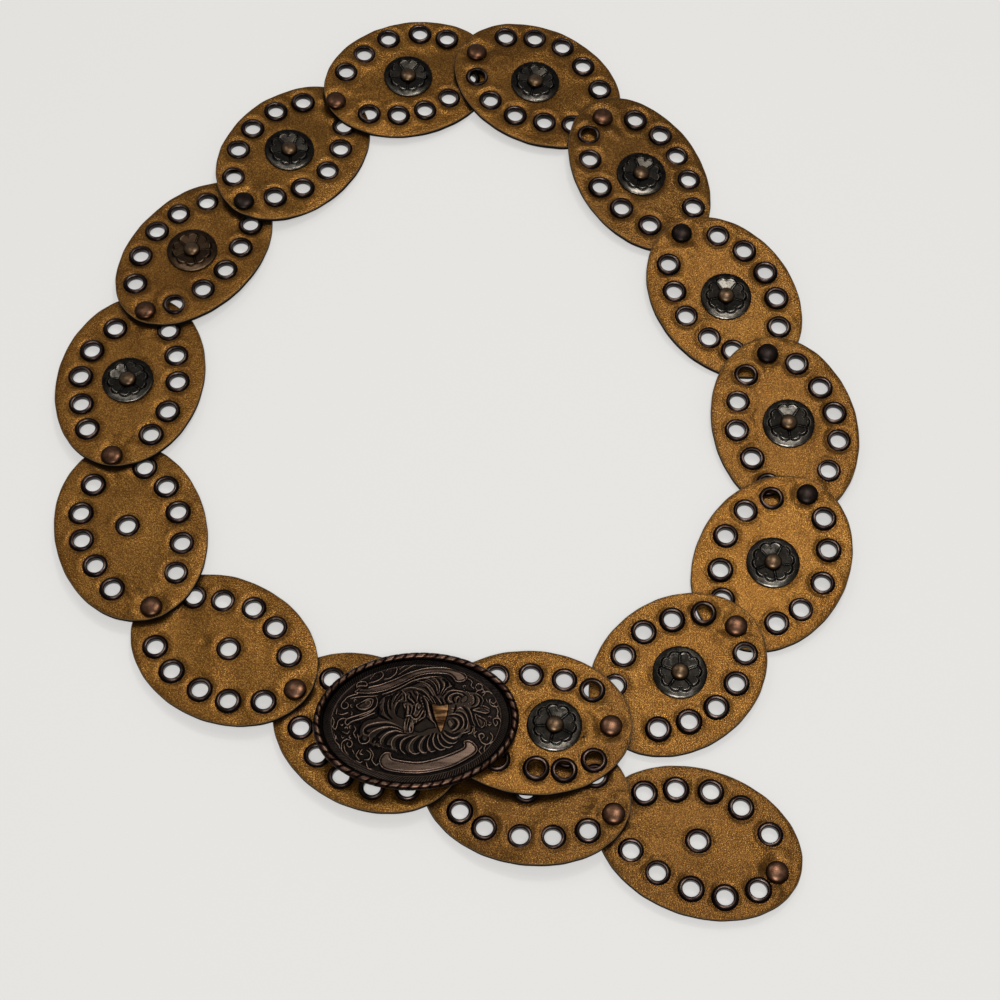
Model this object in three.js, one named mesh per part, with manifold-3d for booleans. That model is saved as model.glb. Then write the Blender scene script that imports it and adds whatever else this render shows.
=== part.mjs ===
// Concho belt of sixteen oval leather discs, riveted end over end into a hip loop,
// fastened by an oval relief buckle and lying flat. Millimetres, +Z up, the underside of
// every rivet on z = 0, the origin at the middle of the belt's box.
import * as THREE from "three";
import { mergeVertices } from "three/addons/utils/BufferGeometryUtils.js";
import Module from "manifold-3d";

const wasm = await Module();
wasm.setup();

// ---- driving dimensions ----
const SHIFT_X = 20.946; // moves the belt's box onto the origin
const SHIFT_Y = -33.861;
const LEATHER = 2.6; // thickness of the two-ply leather
const OUTLINE_STEPS = 28;
const GAP = 0.3; // clearance between pieces
const EYELET_R = 3.7; // clear opening of an eyelet
const EYELET_STEPS = 8;
const RIVET_HOLE_R = 2.15;
const STUD_HOLE_R = 1.85;

const RIVET = { capR: 4.75, domeH: 2.0, rimH: 0.7, shankR: 1.6, footR: 4.2, footH: 0.8, steps: 10 };
const STUD = { capR: 3.3, domeH: 1.7, rimH: 0.5, shankR: 1.3, footR: 3.4, footH: 0.8, steps: 8 };
const CONCHO = { r: 11.8, holeR: 1.75, hubR: 3.6, crestR: 7.6, dipR: 10.3, crest: 2.2, hub: 1.5, dip: 1.5, edge: 0.8, steps: 16 };

// Each disc in the order of the chain: place, heading of its far end, half length and half
// width as the leather lies, height of its underside at the middle, slope along and across.
const DISCS = [
  { x: 14.9, y: -109.2, heading: 357.1, long: 43.0, wide: 33.0, lift: 7.46, pitch: -0.0122, roll: -0.0428, middle: "concho" },
  { x: 78.2, y: -84.5, heading: 39.7, long: 41.7, wide: 33.9, lift: 3.27, pitch: 0.0484, roll: 0.0182, middle: "concho" },
  { x: 120.8, y: -31.2, heading: 63.4, long: 43.6, wide: 33.9, lift: 3.21, pitch: 0.0516, roll: -0.0028, middle: "concho" },
  { x: 129.2, y: 37.1, heading: 101.1, long: 45.1, wide: 33.0, lift: 3.26, pitch: 0.0531, roll: -0.032, middle: "concho" },
  { x: 103.4, y: 104.7, heading: 120.6, long: 44.0, wide: 33.2, lift: 3.75, pitch: 0.0653, roll: -0.0412, middle: "concho" },
  { x: 64.6, y: 172.7, heading: 117.0, long: 45.2, wide: 30.8, lift: 3.34, pitch: 0.0476, roll: 0.05, middle: "concho" },
  { x: 15.4, y: 223.6, heading: 148.4, long: 43.3, wide: 33.2, lift: 3.17, pitch: 0.0488, roll: 0.0298, middle: "concho" },
  { x: -47.3, y: 226.3, heading: 203.4, long: 43.3, wide: 32.7, lift: 3.21, pitch: 0.0525, roll: -0.0229, middle: "concho" },
  { x: -102.2, y: 181.8, heading: 233.7, long: 43.7, wide: 31.7, lift: 3.64, pitch: 0.0679, roll: -0.0404, middle: "concho" },
  { x: -146.0, y: 124.8, heading: 235.7, long: 45.3, wide: 30.4, lift: 3.04, pitch: 0.0519, roll: 0.0303, middle: "concho" },
  { x: -170.6, y: 56.1, heading: 262.5, long: 45.6, wide: 33.8, lift: 3.00, pitch: 0.0466, roll: 0.014, middle: "concho" },
  { x: -164.1, y: -20.1, heading: 286.5, long: 45.4, wide: 33.6, lift: 3.15, pitch: 0.0482, roll: -0.0062, middle: "eyelet" },
  { x: -118.9, y: -76.2, heading: 330.5, long: 43.6, wide: 33.4, lift: 3.12, pitch: 0.0474, roll: -0.0399, middle: "eyelet" },
  { x: -54.9, y: -113.2, heading: 328.0, long: 44.0, wide: 33.8, lift: 3.18, pitch: 0.052, roll: -0.0362, middle: "eyelet" },
  { x: 12.9, y: -138.8, heading: 348.6, long: 44.6, wide: 32.4, lift: 3.24, pitch: 0.0514, roll: -0.05, middle: "eyelet" },
  { x: 85.6, y: -159.3, heading: 340.4, long: 44.3, wide: 32.2, lift: 1.35, pitch: 0.0022, roll: -0.0353, middle: "eyelet" },
];

// Where each rivet stands: rivet i joins disc i, above, to disc i + 1, below. The last one
// is set in the free end alone.
const RIVETS = [
  { x: 48.8, y: -110.6 },
  { x: 103.8, y: -62.9 },
  { x: 137.6, y: 1.3 },
  { x: 122.4, y: 73.1 },
  { x: 84.0, y: 137.1 },
  { x: 47.1, y: 203.3 },
  { x: -14.8, y: 240.9 },
  { x: -82.9, y: 210.5 },
  { x: -124.0, y: 151.4 },
  { x: -166.2, y: 91.1 },
  { x: -175.2, y: 15.7 },
  { x: -151.6, y: -57.9 },
  { x: -86.8, y: -95.4 },
  { x: -23.6, y: -131.8 },
  { x: 49.6, y: -149.0 },
  { x: 117.8, y: -172.1 },
];

// Eyelets of each disc in its own frame: ten round the rim, and the middle one of the discs
// that have no concho. Each pair is along, across.
const EYELETS = [
  { disc: 1, at: [[-27.3, 12.6], [-16.1, 19.9], [-1.5, 21.4], [12.9, 20.0], [25.1, 16.3], [-25.8, -12.6], [-13.6, -18.2], [3.1, -21.1], [14.9, -21.1], [27.3, -15.7]] },
  { disc: 2, at: [[-24.7, 12.9], [-13.3, 21.0], [0.6, 23.8], [13.9, 20.3], [26.6, 13.9], [-23.0, -13.7], [-10.6, -19.5], [2.6, -22.2], [16.3, -19.5], [28.1, -11.6]] },
  { disc: 3, at: [[-25.9, 12.1], [-13.6, 18.8], [2.1, 23.6], [16.8, 20.9], [27.7, 13.1], [-25.2, -13.9], [-14.5, -20.7], [0.8, -24.0], [16.5, -19.9], [29.4, -11.8]] },
  { disc: 4, at: [[-27.1, 14.0], [-13.2, 18.2], [1.7, 22.0], [15.6, 18.5], [27.9, 11.8], [-25.5, -14.3], [-12.0, -22.1], [1.8, -23.5], [15.4, -20.2], [29.2, -12.2]] },
  { disc: 5, at: [[-26.0, 11.3], [-15.1, 17.7], [-0.3, 21.0], [13.4, 19.1], [26.9, 14.0], [-26.4, -13.6], [-13.1, -20.7], [0.8, -23.3], [15.3, -20.6], [28.0, -13.9]] },
  { disc: 6, at: [[-27.9, 8.9], [-14.1, 16.9], [0.6, 20.9], [16.4, 18.4], [28.8, 12.5], [-27.6, -14.9], [-13.0, -20.1], [0.9, -21.0], [14.8, -19.3], [27.7, -12.3]] },
  { disc: 7, at: [[-26.7, 10.4], [-14.5, 17.0], [-0.6, 21.7], [14.0, 21.2], [26.6, 13.3], [-26.6, -15.1], [-12.6, -22.1], [1.8, -26.0], [15.7, -22.5], [28.0, -15.0]] },
  { disc: 8, at: [[-26.8, 10.2], [-13.4, 17.6], [0.2, 20.1], [13.3, 18.4], [26.4, 12.9], [-25.9, -15.7], [-14.4, -23.0], [1.4, -25.4], [16.0, -20.7], [28.0, -14.1]] },
  { disc: 9, at: [[-27.3, 9.2], [-15.9, 16.3], [-1.9, 19.8], [13.4, 16.7], [26.1, 10.0], [-25.7, -15.1], [-12.9, -21.7], [2.2, -23.6], [16.2, -20.8], [29.8, -12.2]] },
  { disc: 10, at: [[-27.8, 11.8], [-14.6, 16.1], [-0.5, 18.3], [14.3, 16.5], [28.5, 11.1], [-25.9, -13.2], [-13.0, -19.8], [1.0, -21.9], [16.4, -19.1], [30.1, -11.2]] },
  { disc: 11, at: [[-28.2, 11.9], [-15.3, 18.3], [-1.7, 21.8], [14.2, 20.7], [27.4, 15.7], [-25.9, -12.9], [-12.6, -20.9], [1.9, -22.9], [16.2, -19.3], [28.6, -13.5]] },
  { disc: 12, at: [[-29.3, 12.5], [-17.0, 19.7], [-3.1, 22.2], [12.8, 20.6], [26.3, 15.0], [-27.0, -11.6], [-14.2, -19.7], [-0.7, -21.9], [13.3, -18.6], [26.6, -13.5], [-2.2, -1.0]] },
  { disc: 13, at: [[-25.2, 14.4], [-13.1, 19.0], [0.5, 22.6], [13.9, 19.5], [26.5, 11.0], [-26.4, -14.2], [-13.7, -20.2], [1.8, -21.4], [15.2, -19.7], [28.7, -12.4], [1.8, 0.9]] },
  { disc: 14, at: [[-26.9, 11.8], [-14.4, 18.5], [-0.2, 22.1], [13.8, 19.7], [27.2, 12.8], [-25.3, -14.1], [-12.2, -20.7], [1.9, -23.1], [15.9, -20.2], [28.8, -12.8], [0.0, 0.0]] },
  { disc: 15, at: [[-27.6, 11.4], [-14.9, 17.8], [-0.5, 21.3], [13.7, 18.9], [27.3, 12.4], [-25.4, -14.6], [-13.7, -19.7], [1.6, -20.3], [15.1, -18.0], [29.0, -12.2], [0.0, 0.0]] },
  { disc: 16, at: [[-28.4, 12.3], [-16.4, 18.6], [-2.2, 22.9], [12.0, 20.6], [26.9, 13.4], [-25.5, -13.8], [-12.1, -19.0], [3.2, -20.6], [17.6, -19.1], [29.7, -11.2], [-0.4, 0.0]] },
];

// Where the concho of a disc sits off its middle: along and across.
const CONCHO_AT = [
  { along: 9.8, across: -1.2 },
  { along: 0.6, across: -0.3 },
  { along: -0.3, across: -0.5 },
  { along: 0.4, across: -1.8 },
  { along: -1.0, across: -0.4 },
  { along: -1.2, across: -0.4 },
  { along: 1.6, across: -0.3 },
  { along: 0.6, across: -0.9 },
  { along: 0.7, across: -1.9 },
  { along: 0.2, across: -1.2 },
  { along: 0.9, across: -0.9 },
];

// The buckle's frame, and its section from the middle out to the edge as a share of the
// half length, with heights above z = 0.
const BUCKLE = { x: -34.2, y: -111.9, heading: 4.0, long: 43.7, wide: 30.4, steps: 40 };
const BUCKLE_SECTION = [
  { share: 0.0, z: 15.4 },
  { share: 0.55, z: 15.15 },
  { share: 0.88, z: 14.4 },
  { share: 0.965, z: 14.1 },
  { share: 1.0, z: 14.5 },
  { share: 1.0, z: 16.3 },
  { share: 0.958, z: 17.5 },
  { share: 0.915, z: 16.5 },
  { share: 0.84, z: 16.5 },
  { share: 0.8, z: 17.0 },
  { share: 0.45, z: 17.75 },
  { share: 0.0, z: 18.0 },
];
const HOOK = { x: -54.9, y: -113.2, postR: 2.0, footLow: 0.6, footHigh: 2.3, footLong: 7.5, footWide: 3.6 };
const TAB = { low: 11.1, high: 12.45, near: 6.0, far: 6.6, half: 5.0, riser: 1.6, holeR: 2.0 };
const BUCKLE_RIVET = { x: -23.0, y: -105.0, headLow: 12.75, headHigh: 13.8, headR: 3.6, shankR: 1.6, footLow: 6.6, footHigh: 7.3, footR: 3.2, steps: 10 };

// ---- materials ----
const MATERIAL = {
  leather: { color: 0x9a6a2c, roughness: 0.45, metalness: 0.45 },
  copper: { color: 0x5a3420, roughness: 0.35, metalness: 0.9 },
  gunmetal: { color: 0x3c3c3a, roughness: 0.35, metalness: 0.9 },
  stud: { color: 0x7a5a3c, roughness: 0.35, metalness: 0.9 },
  buckle: { color: 0x33231c, roughness: 0.4, metalness: 0.85 },
};

const belt = new THREE.Group();
belt.name = "concho_belt";
belt.position.set(SHIFT_X, SHIFT_Y, 0);

function add(name, geometry, kind) {
  const mesh = new THREE.Mesh(geometry, new THREE.MeshStandardMaterial(MATERIAL[kind]));
  mesh.name = name;
  belt.add(mesh);
}

// ---- helpers ----
const rad = (deg) => (deg * Math.PI) / 180;
const pad = (i) => String(i + 1).padStart(2, "0");

function toWorld(d, along, across) {
  const h = rad(d.heading);
  return { x: d.x + along * Math.cos(h) - across * Math.sin(h), y: d.y + along * Math.sin(h) + across * Math.cos(h) };
}
function toDisc(d, p) {
  const h = rad(d.heading), dx = p.x - d.x, dy = p.y - d.y;
  return { along: dx * Math.cos(h) + dy * Math.sin(h), across: -dx * Math.sin(h) + dy * Math.cos(h) };
}
// Height of a disc's underside at a point of the table frame, and its slope there.
function underside(d, p) {
  const q = toDisc(d, p);
  return d.lift + d.pitch * q.along + d.roll * q.across;
}
function slope(d) {
  const h = rad(d.heading);
  return { x: d.pitch * Math.cos(h) - d.roll * Math.sin(h), y: d.pitch * Math.sin(h) + d.roll * Math.cos(h) };
}

function ring(cx, cy, r, steps, phase = 0) {
  const pts = [];
  for (let k = 0; k < steps; k++) {
    const a = phase + (2 * Math.PI * k) / steps;
    pts.push(new THREE.Vector2(cx + r * Math.cos(a), cy + r * Math.sin(a)));
  }
  return pts;
}

// Moves every vertex of a geometry by a function of its place.
function reshape(geometry, move) {
  const pos = geometry.getAttribute("position");
  for (let k = 0; k < pos.count; k++) {
    const v = move(pos.getX(k), pos.getY(k), pos.getZ(k));
    pos.setXYZ(k, v[0], v[1], v[2]);
  }
  pos.needsUpdate = true;
  geometry.deleteAttribute("normal");
  geometry.computeVertexNormals();
  return geometry;
}

// A turned solid about +Z from its profile of radius and height, bottom to top outside.
function turned(profile, steps) {
  const g = new THREE.LatheGeometry(profile.map((p) => new THREE.Vector2(p[0], p[1])), steps);
  g.rotateX(Math.PI / 2);
  return g;
}

// ---- leather discs ----
function discGeometry(i) {
  const d = DISCS[i];
  const shape = new THREE.Shape();
  const outline = [];
  for (let k = 0; k < OUTLINE_STEPS; k++) {
    const a = (2 * Math.PI * k) / OUTLINE_STEPS;
    outline.push(new THREE.Vector2(d.long * Math.cos(a), d.wide * Math.sin(a)));
  }
  shape.setFromPoints(outline);
  const hole = (along, across, r, steps) => {
    const path = new THREE.Path();
    path.setFromPoints(ring(along, across, r, steps, Math.PI / steps).reverse());
    shape.holes.push(path);
  };
  for (const [along, across] of EYELETS[i].at) hole(along, across, EYELET_R, EYELET_STEPS);
  if (d.middle === "concho") hole(CONCHO_AT[i].along, CONCHO_AT[i].across, STUD_HOLE_R, 6);
  const far = toDisc(d, RIVETS[i]);
  hole(far.along, far.across, RIVET_HOLE_R, 6);
  const near = i > 0 ? toDisc(d, RIVETS[i - 1]) : toDisc(d, BUCKLE_RIVET);
  hole(near.along, near.across, RIVET_HOLE_R, 6);
  const g = new THREE.ExtrudeGeometry(shape, { depth: LEATHER, bevelEnabled: false, curveSegments: 1 });
  const h = rad(d.heading);
  return reshape(g, (u, v, z) => [
    d.x + u * Math.cos(h) - v * Math.sin(h),
    d.y + u * Math.sin(h) + v * Math.cos(h),
    z + d.lift + d.pitch * u + d.roll * v,
  ]);
}

// ---- rivets: a domed cap seated on the upper disc, a flat foot on z = 0 ----
function rivetGeometry(i) {
  const p = RIVETS[i], d = DISCS[i], s = slope(d);
  const seat = underside(d, p) + LEATHER + GAP;
  const profile = [
    [0, 0],
    [RIVET.footR, 0],
    [RIVET.footR, RIVET.footH],
    [RIVET.shankR, RIVET.footH],
    [RIVET.shankR, seat],
    [RIVET.capR, seat],
    [RIVET.capR, seat + RIVET.rimH],
    [RIVET.capR * 0.68, seat + RIVET.domeH * 0.8],
    [0, seat + RIVET.domeH],
  ];
  const g = turned(profile, RIVET.steps);
  const mid = (RIVET.footH + seat) / 2;
  return reshape(g, (x, y, z) => [p.x + x, p.y + y, z > mid ? z + s.x * x + s.y * y : z]);
}

// ---- conchos and the studs through them, both parallel to their disc ----
function conchoPlace(i) {
  const d = DISCS[i], at = CONCHO_AT[i];
  return { d, p: toWorld(d, at.along, at.across), s: slope(d) };
}
function conchoGeometry(i) {
  const { d, p, s } = conchoPlace(i);
  const base = underside(d, p) + LEATHER + GAP;
  const c = CONCHO;
  const profile = [
    [c.holeR, base],
    [c.r, base],
    [c.r, base + c.edge],
    [c.dipR, base + c.dip],
    [c.crestR, base + c.crest],
    [c.hubR, base + c.hub],
    [c.holeR, base + c.hub],
    [c.holeR, base],
  ];
  const g = turned(profile, c.steps);
  return reshape(g, (x, y, z) => [p.x + x, p.y + y, z + s.x * x + s.y * y]);
}
function studGeometry(i) {
  const { d, p, s } = conchoPlace(i);
  const low = underside(d, p);
  const seat = low + LEATHER + GAP + CONCHO.hub + GAP;
  const foot = low - GAP;
  const profile = [
    [0, foot - STUD.footH],
    [STUD.footR, foot - STUD.footH],
    [STUD.footR, foot],
    [STUD.shankR, foot],
    [STUD.shankR, seat],
    [STUD.capR, seat],
    [STUD.capR, seat + STUD.rimH],
    [STUD.capR * 0.66, seat + STUD.domeH * 0.8],
    [0, seat + STUD.domeH],
  ];
  const g = turned(profile, STUD.steps);
  return reshape(g, (x, y, z) => [p.x + x, p.y + y, z + s.x * x + s.y * y]);
}

// ---- buckle: a shallow stamped oval with hook post, foot and rivet tab soldered behind ----
function solid(geometry) {
  const g = geometry.clone();
  g.deleteAttribute("normal");
  g.deleteAttribute("uv");
  const m = mergeVertices(g, 1e-3);
  return new wasm.Manifold(
    new wasm.Mesh({ numProp: 3, vertProperties: new Float32Array(m.attributes.position.array), triVerts: new Uint32Array(m.index.array) }),
  );
}
function fromSolid(s) {
  const m = s.getMesh();
  const g = new THREE.BufferGeometry();
  g.setAttribute("position", new THREE.BufferAttribute(new Float32Array(m.vertProperties), 3));
  g.setIndex(new THREE.BufferAttribute(new Uint32Array(m.triVerts), 1));
  g.computeVertexNormals();
  return g;
}
function box(x0, x1, y0, y1, z0, z1) {
  const g = new THREE.BoxGeometry(x1 - x0, y1 - y0, z1 - z0);
  g.translate((x0 + x1) / 2, (y0 + y1) / 2, (z0 + z1) / 2);
  return g;
}
function buckleGeometry() {
  const b = BUCKLE;
  const plate = turned(BUCKLE_SECTION.map((q) => [q.share * b.long, q.z]), b.steps);
  plate.scale(1, b.wide / b.long, 1);
  const hook = toDisc(b, HOOK), tab = toDisc(b, BUCKLE_RIVET);
  const under = 15.9; // inside the plate's thickness
  const post = turned([[0, HOOK.footLow], [HOOK.postR, HOOK.footLow], [HOOK.postR, under], [0, under]], 10);
  post.translate(hook.along, hook.across, 0);
  const foot = box(hook.along - HOOK.footLong, hook.along, hook.across - HOOK.footWide / 2, hook.across + HOOK.footWide / 2, HOOK.footLow, HOOK.footHigh);
  const leaf = box(tab.along - TAB.near, tab.along + TAB.far, tab.across - TAB.half, tab.across + TAB.half, TAB.low, TAB.high);
  const riser = box(tab.along + TAB.far - TAB.riser, tab.along + TAB.far, tab.across - TAB.half, tab.across + TAB.half, TAB.low, under - 0.3);
  const bore = turned([[0, 5], [TAB.holeR, 5], [TAB.holeR, 14], [0, 14]], 10);
  bore.translate(tab.along, tab.across, 0);
  const g = fromSolid(solid(plate).add(solid(post)).add(solid(foot)).add(solid(leaf)).add(solid(riser)).subtract(solid(bore)));
  g.rotateZ(rad(b.heading));
  g.translate(b.x, b.y, 0);
  return g;
}
function buckleRivetGeometry() {
  const r = BUCKLE_RIVET;
  const g = turned(
    [[0, r.footLow], [r.footR, r.footLow], [r.footR, r.footHigh], [r.shankR, r.footHigh], [r.shankR, r.headLow], [r.headR, r.headLow], [r.headR, r.headHigh], [0, r.headHigh]],
    r.steps,
  );
  g.translate(r.x, r.y, 0);
  return g;
}

for (let i = 0; i < DISCS.length; i++) add("disc_" + pad(i), discGeometry(i), "leather");
for (let i = 0; i < RIVETS.length; i++) add("rivet_" + pad(i), rivetGeometry(i), "copper");
for (let i = 0; i < CONCHO_AT.length; i++) {
  add("concho_" + pad(i), conchoGeometry(i), "gunmetal");
  add("concho_stud_" + pad(i), studGeometry(i), "stud");
}
add("buckle", buckleGeometry(), "buckle");
add("buckle_rivet", buckleRivetGeometry(), "copper");

export default belt;
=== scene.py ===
import math
import random

import bpy
import numpy as np
from mathutils import Matrix, Vector
from mathutils.geometry import delaunay_2d_cdt


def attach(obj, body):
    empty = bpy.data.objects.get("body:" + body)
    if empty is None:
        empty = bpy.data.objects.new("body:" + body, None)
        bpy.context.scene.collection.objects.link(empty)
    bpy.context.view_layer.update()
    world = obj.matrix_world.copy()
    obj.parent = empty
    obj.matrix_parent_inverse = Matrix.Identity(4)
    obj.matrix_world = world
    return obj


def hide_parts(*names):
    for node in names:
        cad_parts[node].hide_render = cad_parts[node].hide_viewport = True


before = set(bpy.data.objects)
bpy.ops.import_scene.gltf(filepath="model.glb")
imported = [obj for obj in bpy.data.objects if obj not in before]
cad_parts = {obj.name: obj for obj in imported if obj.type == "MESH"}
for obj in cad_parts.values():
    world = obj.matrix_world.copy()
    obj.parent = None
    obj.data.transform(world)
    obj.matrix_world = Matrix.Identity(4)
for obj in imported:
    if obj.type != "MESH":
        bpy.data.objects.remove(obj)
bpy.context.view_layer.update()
MM = 0.001

# ------------------------------------------------------------------ sizes, in millimetres
SHIFT = np.array([20.946, -33.861])
LEATHER = 2.6
EYELET_R = 3.7

# x, y, heading of the far end, half length, half width, lift, pitch, roll
DISCS = [
    (14.9, -109.2, 357.1, 43.0, 33.0, 7.46, -0.0122, -0.0428),
    (78.2, -84.5, 39.7, 41.7, 33.9, 3.27, 0.0484, 0.0182),
    (120.8, -31.2, 63.4, 43.6, 33.9, 3.21, 0.0516, -0.0028),
    (129.2, 37.1, 101.1, 45.1, 33.0, 3.26, 0.0531, -0.0320),
    (103.4, 104.7, 120.6, 44.0, 33.2, 3.75, 0.0653, -0.0412),
    (64.6, 172.7, 117.0, 45.2, 30.8, 3.34, 0.0476, 0.0500),
    (15.4, 223.6, 148.4, 43.3, 33.2, 3.17, 0.0488, 0.0298),
    (-47.3, 226.3, 203.4, 43.3, 32.7, 3.21, 0.0525, -0.0229),
    (-102.2, 181.8, 233.7, 43.7, 31.7, 3.64, 0.0679, -0.0404),
    (-146.0, 124.8, 235.7, 45.3, 30.4, 3.04, 0.0519, 0.0303),
    (-170.6, 56.1, 262.5, 45.6, 33.8, 3.00, 0.0466, 0.0140),
    (-164.1, -20.1, 286.5, 45.4, 33.6, 3.15, 0.0482, -0.0062),
    (-118.9, -76.2, 330.5, 43.6, 33.4, 3.12, 0.0474, -0.0399),
    (-54.9, -113.2, 328.0, 44.0, 33.8, 3.18, 0.0520, -0.0362),
    (12.9, -138.8, 348.6, 44.6, 32.4, 3.24, 0.0514, -0.0500),
    (85.6, -159.3, 340.4, 44.3, 32.2, 1.35, 0.0022, -0.0353),
]
# x, y, how dark the cap is
RIVETS = [
    (48.8, -110.6, 0.0),
    (103.8, -62.9, 0.1),
    (137.6, 1.3, 0.85),
    (122.4, 73.1, 0.95),
    (84.0, 137.1, 0.9),
    (47.1, 203.3, 0.3),
    (-14.8, 240.9, 0.35),
    (-82.9, 210.5, 0.4),
    (-124.0, 151.4, 0.6),
    (-166.2, 91.1, 0.3),
    (-175.2, 15.7, 0.25),
    (-151.6, -57.9, 0.1),
    (-86.8, -95.4, 0.0),
    (-23.6, -131.8, 0.1),
    (49.6, -149.0, 0.05),
    (117.8, -172.1, 0.0),
]
# along, across of each eyelet, a row for each disc: ten round the rim, then the middle one if there is one
EYELETS = [
    [(-27.3, 12.6), (-16.1, 19.9), (-1.5, 21.4), (12.9, 20.0), (25.1, 16.3), (-25.8, -12.6), (-13.6, -18.2), (3.1, -21.1), (14.9, -21.1), (27.3, -15.7)],
    [(-24.7, 12.9), (-13.3, 21.0), (0.6, 23.8), (13.9, 20.3), (26.6, 13.9), (-23.0, -13.7), (-10.6, -19.5), (2.6, -22.2), (16.3, -19.5), (28.1, -11.6)],
    [(-25.9, 12.1), (-13.6, 18.8), (2.1, 23.6), (16.8, 20.9), (27.7, 13.1), (-25.2, -13.9), (-14.5, -20.7), (0.8, -24.0), (16.5, -19.9), (29.4, -11.8)],
    [(-27.1, 14.0), (-13.2, 18.2), (1.7, 22.0), (15.6, 18.5), (27.9, 11.8), (-25.5, -14.3), (-12.0, -22.1), (1.8, -23.5), (15.4, -20.2), (29.2, -12.2)],
    [(-26.0, 11.3), (-15.1, 17.7), (-0.3, 21.0), (13.4, 19.1), (26.9, 14.0), (-26.4, -13.6), (-13.1, -20.7), (0.8, -23.3), (15.3, -20.6), (28.0, -13.9)],
    [(-27.9, 8.9), (-14.1, 16.9), (0.6, 20.9), (16.4, 18.4), (28.8, 12.5), (-27.6, -14.9), (-13.0, -20.1), (0.9, -21.0), (14.8, -19.3), (27.7, -12.3)],
    [(-26.7, 10.4), (-14.5, 17.0), (-0.6, 21.7), (14.0, 21.2), (26.6, 13.3), (-26.6, -15.1), (-12.6, -22.1), (1.8, -26.0), (15.7, -22.5), (28.0, -15.0)],
    [(-26.8, 10.2), (-13.4, 17.6), (0.2, 20.1), (13.3, 18.4), (26.4, 12.9), (-25.9, -15.7), (-14.4, -23.0), (1.4, -25.4), (16.0, -20.7), (28.0, -14.1)],
    [(-27.3, 9.2), (-15.9, 16.3), (-1.9, 19.8), (13.4, 16.7), (26.1, 10.0), (-25.7, -15.1), (-12.9, -21.7), (2.2, -23.6), (16.2, -20.8), (29.8, -12.2)],
    [(-27.8, 11.8), (-14.6, 16.1), (-0.5, 18.3), (14.3, 16.5), (28.5, 11.1), (-25.9, -13.2), (-13.0, -19.8), (1.0, -21.9), (16.4, -19.1), (30.1, -11.2)],
    [(-28.2, 11.9), (-15.3, 18.3), (-1.7, 21.8), (14.2, 20.7), (27.4, 15.7), (-25.9, -12.9), (-12.6, -20.9), (1.9, -22.9), (16.2, -19.3), (28.6, -13.5)],
    [(-29.3, 12.5), (-17.0, 19.7), (-3.1, 22.2), (12.8, 20.6), (26.3, 15.0), (-27.0, -11.6), (-14.2, -19.7), (-0.7, -21.9), (13.3, -18.6), (26.6, -13.5), (-2.2, -1.0)],
    [(-25.2, 14.4), (-13.1, 19.0), (0.5, 22.6), (13.9, 19.5), (26.5, 11.0), (-26.4, -14.2), (-13.7, -20.2), (1.8, -21.4), (15.2, -19.7), (28.7, -12.4), (1.8, 0.9)],
    [(-26.9, 11.8), (-14.4, 18.5), (-0.2, 22.1), (13.8, 19.7), (27.2, 12.8), (-25.3, -14.1), (-12.2, -20.7), (1.9, -23.1), (15.9, -20.2), (28.8, -12.8), (0.0, 0.0)],
    [(-27.6, 11.4), (-14.9, 17.8), (-0.5, 21.3), (13.7, 18.9), (27.3, 12.4), (-25.4, -14.6), (-13.7, -19.7), (1.6, -20.3), (15.1, -18.0), (29.0, -12.2), (0.0, 0.0)],
    [(-28.4, 12.3), (-16.4, 18.6), (-2.2, 22.9), (12.0, 20.6), (26.9, 13.4), (-25.5, -13.8), (-12.1, -19.0), (3.2, -20.6), (17.6, -19.1), (29.7, -11.2), (-0.4, 0.0)],
]
# a brightness scale for the bronze of each disc's face: partly the disc's own tone, partly painted sheen and painted
# shade for how much light each disc catches
TONE_AND_PAINTED_SHEEN = [0.97, 0.96, 1.10, 0.86, 0.92, 0.74, 0.95, 1.10, 1.0, 0.95, 1.0, 1.02, 1.06, 1.0, 0.70, 0.74]
# along, across, angle of one gap between petals in the row frame, how brown the metal is, the angle in degrees the
# painted highlight on the petals faces, how strong that painted highlight is
CONCHOS = [
    (9.8, -1.2, 114, 0.0, 100, 0.16),
    (0.6, -0.3, 90, 0.0, 90, 0.20),
    (-0.3, -0.5, 61, 0.0, 75, 0.18),
    (0.4, -1.8, 128, 0.0, 92, 0.26),
    (-1.0, -0.4, 124, 0.0, 88, 0.32),
    (-1.2, -0.4, 111, 0.1, 75, 0.02),
    (1.6, -0.3, 112, 0.0, 76, 0.03),
    (0.6, -0.9, 126, 0.1, 90, 0.10),
    (0.7, -1.9, 62, 0.1, 98, 0.08),
    (0.2, -1.2, 72, 0.6, 108, 0.08),
    (0.9, -0.9, 103, 0.15, 139, 0.20),
]
# a short crack in the face of disc 1: two ends along and across, half width
CRACK = [((21.54, -5.95), (23.22, -5.61), 0.32), ((22.22, -5.05), (22.54, -6.47), 0.26)]
RIVET = dict(cap=4.95, dome=1.75, shank=1.6, foot=4.2, foot_h=0.8)
STUD = dict(cap=3.95, dome=1.6, shank=1.3, foot=3.4, foot_h=0.8)
CONCHO = dict(r=11.8, hole=1.75, hub=1.5)
BUCKLE = dict(x=-34.2, y=-111.9, heading=4.0, long=43.7, wide=30.4)
HOOK = dict(x=-54.9, y=-113.2, r=2.0, low=0.6, high=2.3, long=7.5, wide=3.6)
TAB = dict(low=11.1, high=12.45, near=6.0, far=6.6, half=5.0, riser=1.6)
BRIVET = dict(x=-23.0, y=-105.0, head_low=12.75, head_high=13.8, head=3.6, shank=1.6, foot_low=6.6, foot_high=7.3, foot=3.2)
CAMERA = dict(tilt=25.619, roll=0.8608, x=-0.02, y=-446.70, z=931.34, focal=2292.03)


def unit(deg):
    return np.array([math.cos(math.radians(deg)), math.sin(math.radians(deg))])


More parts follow.
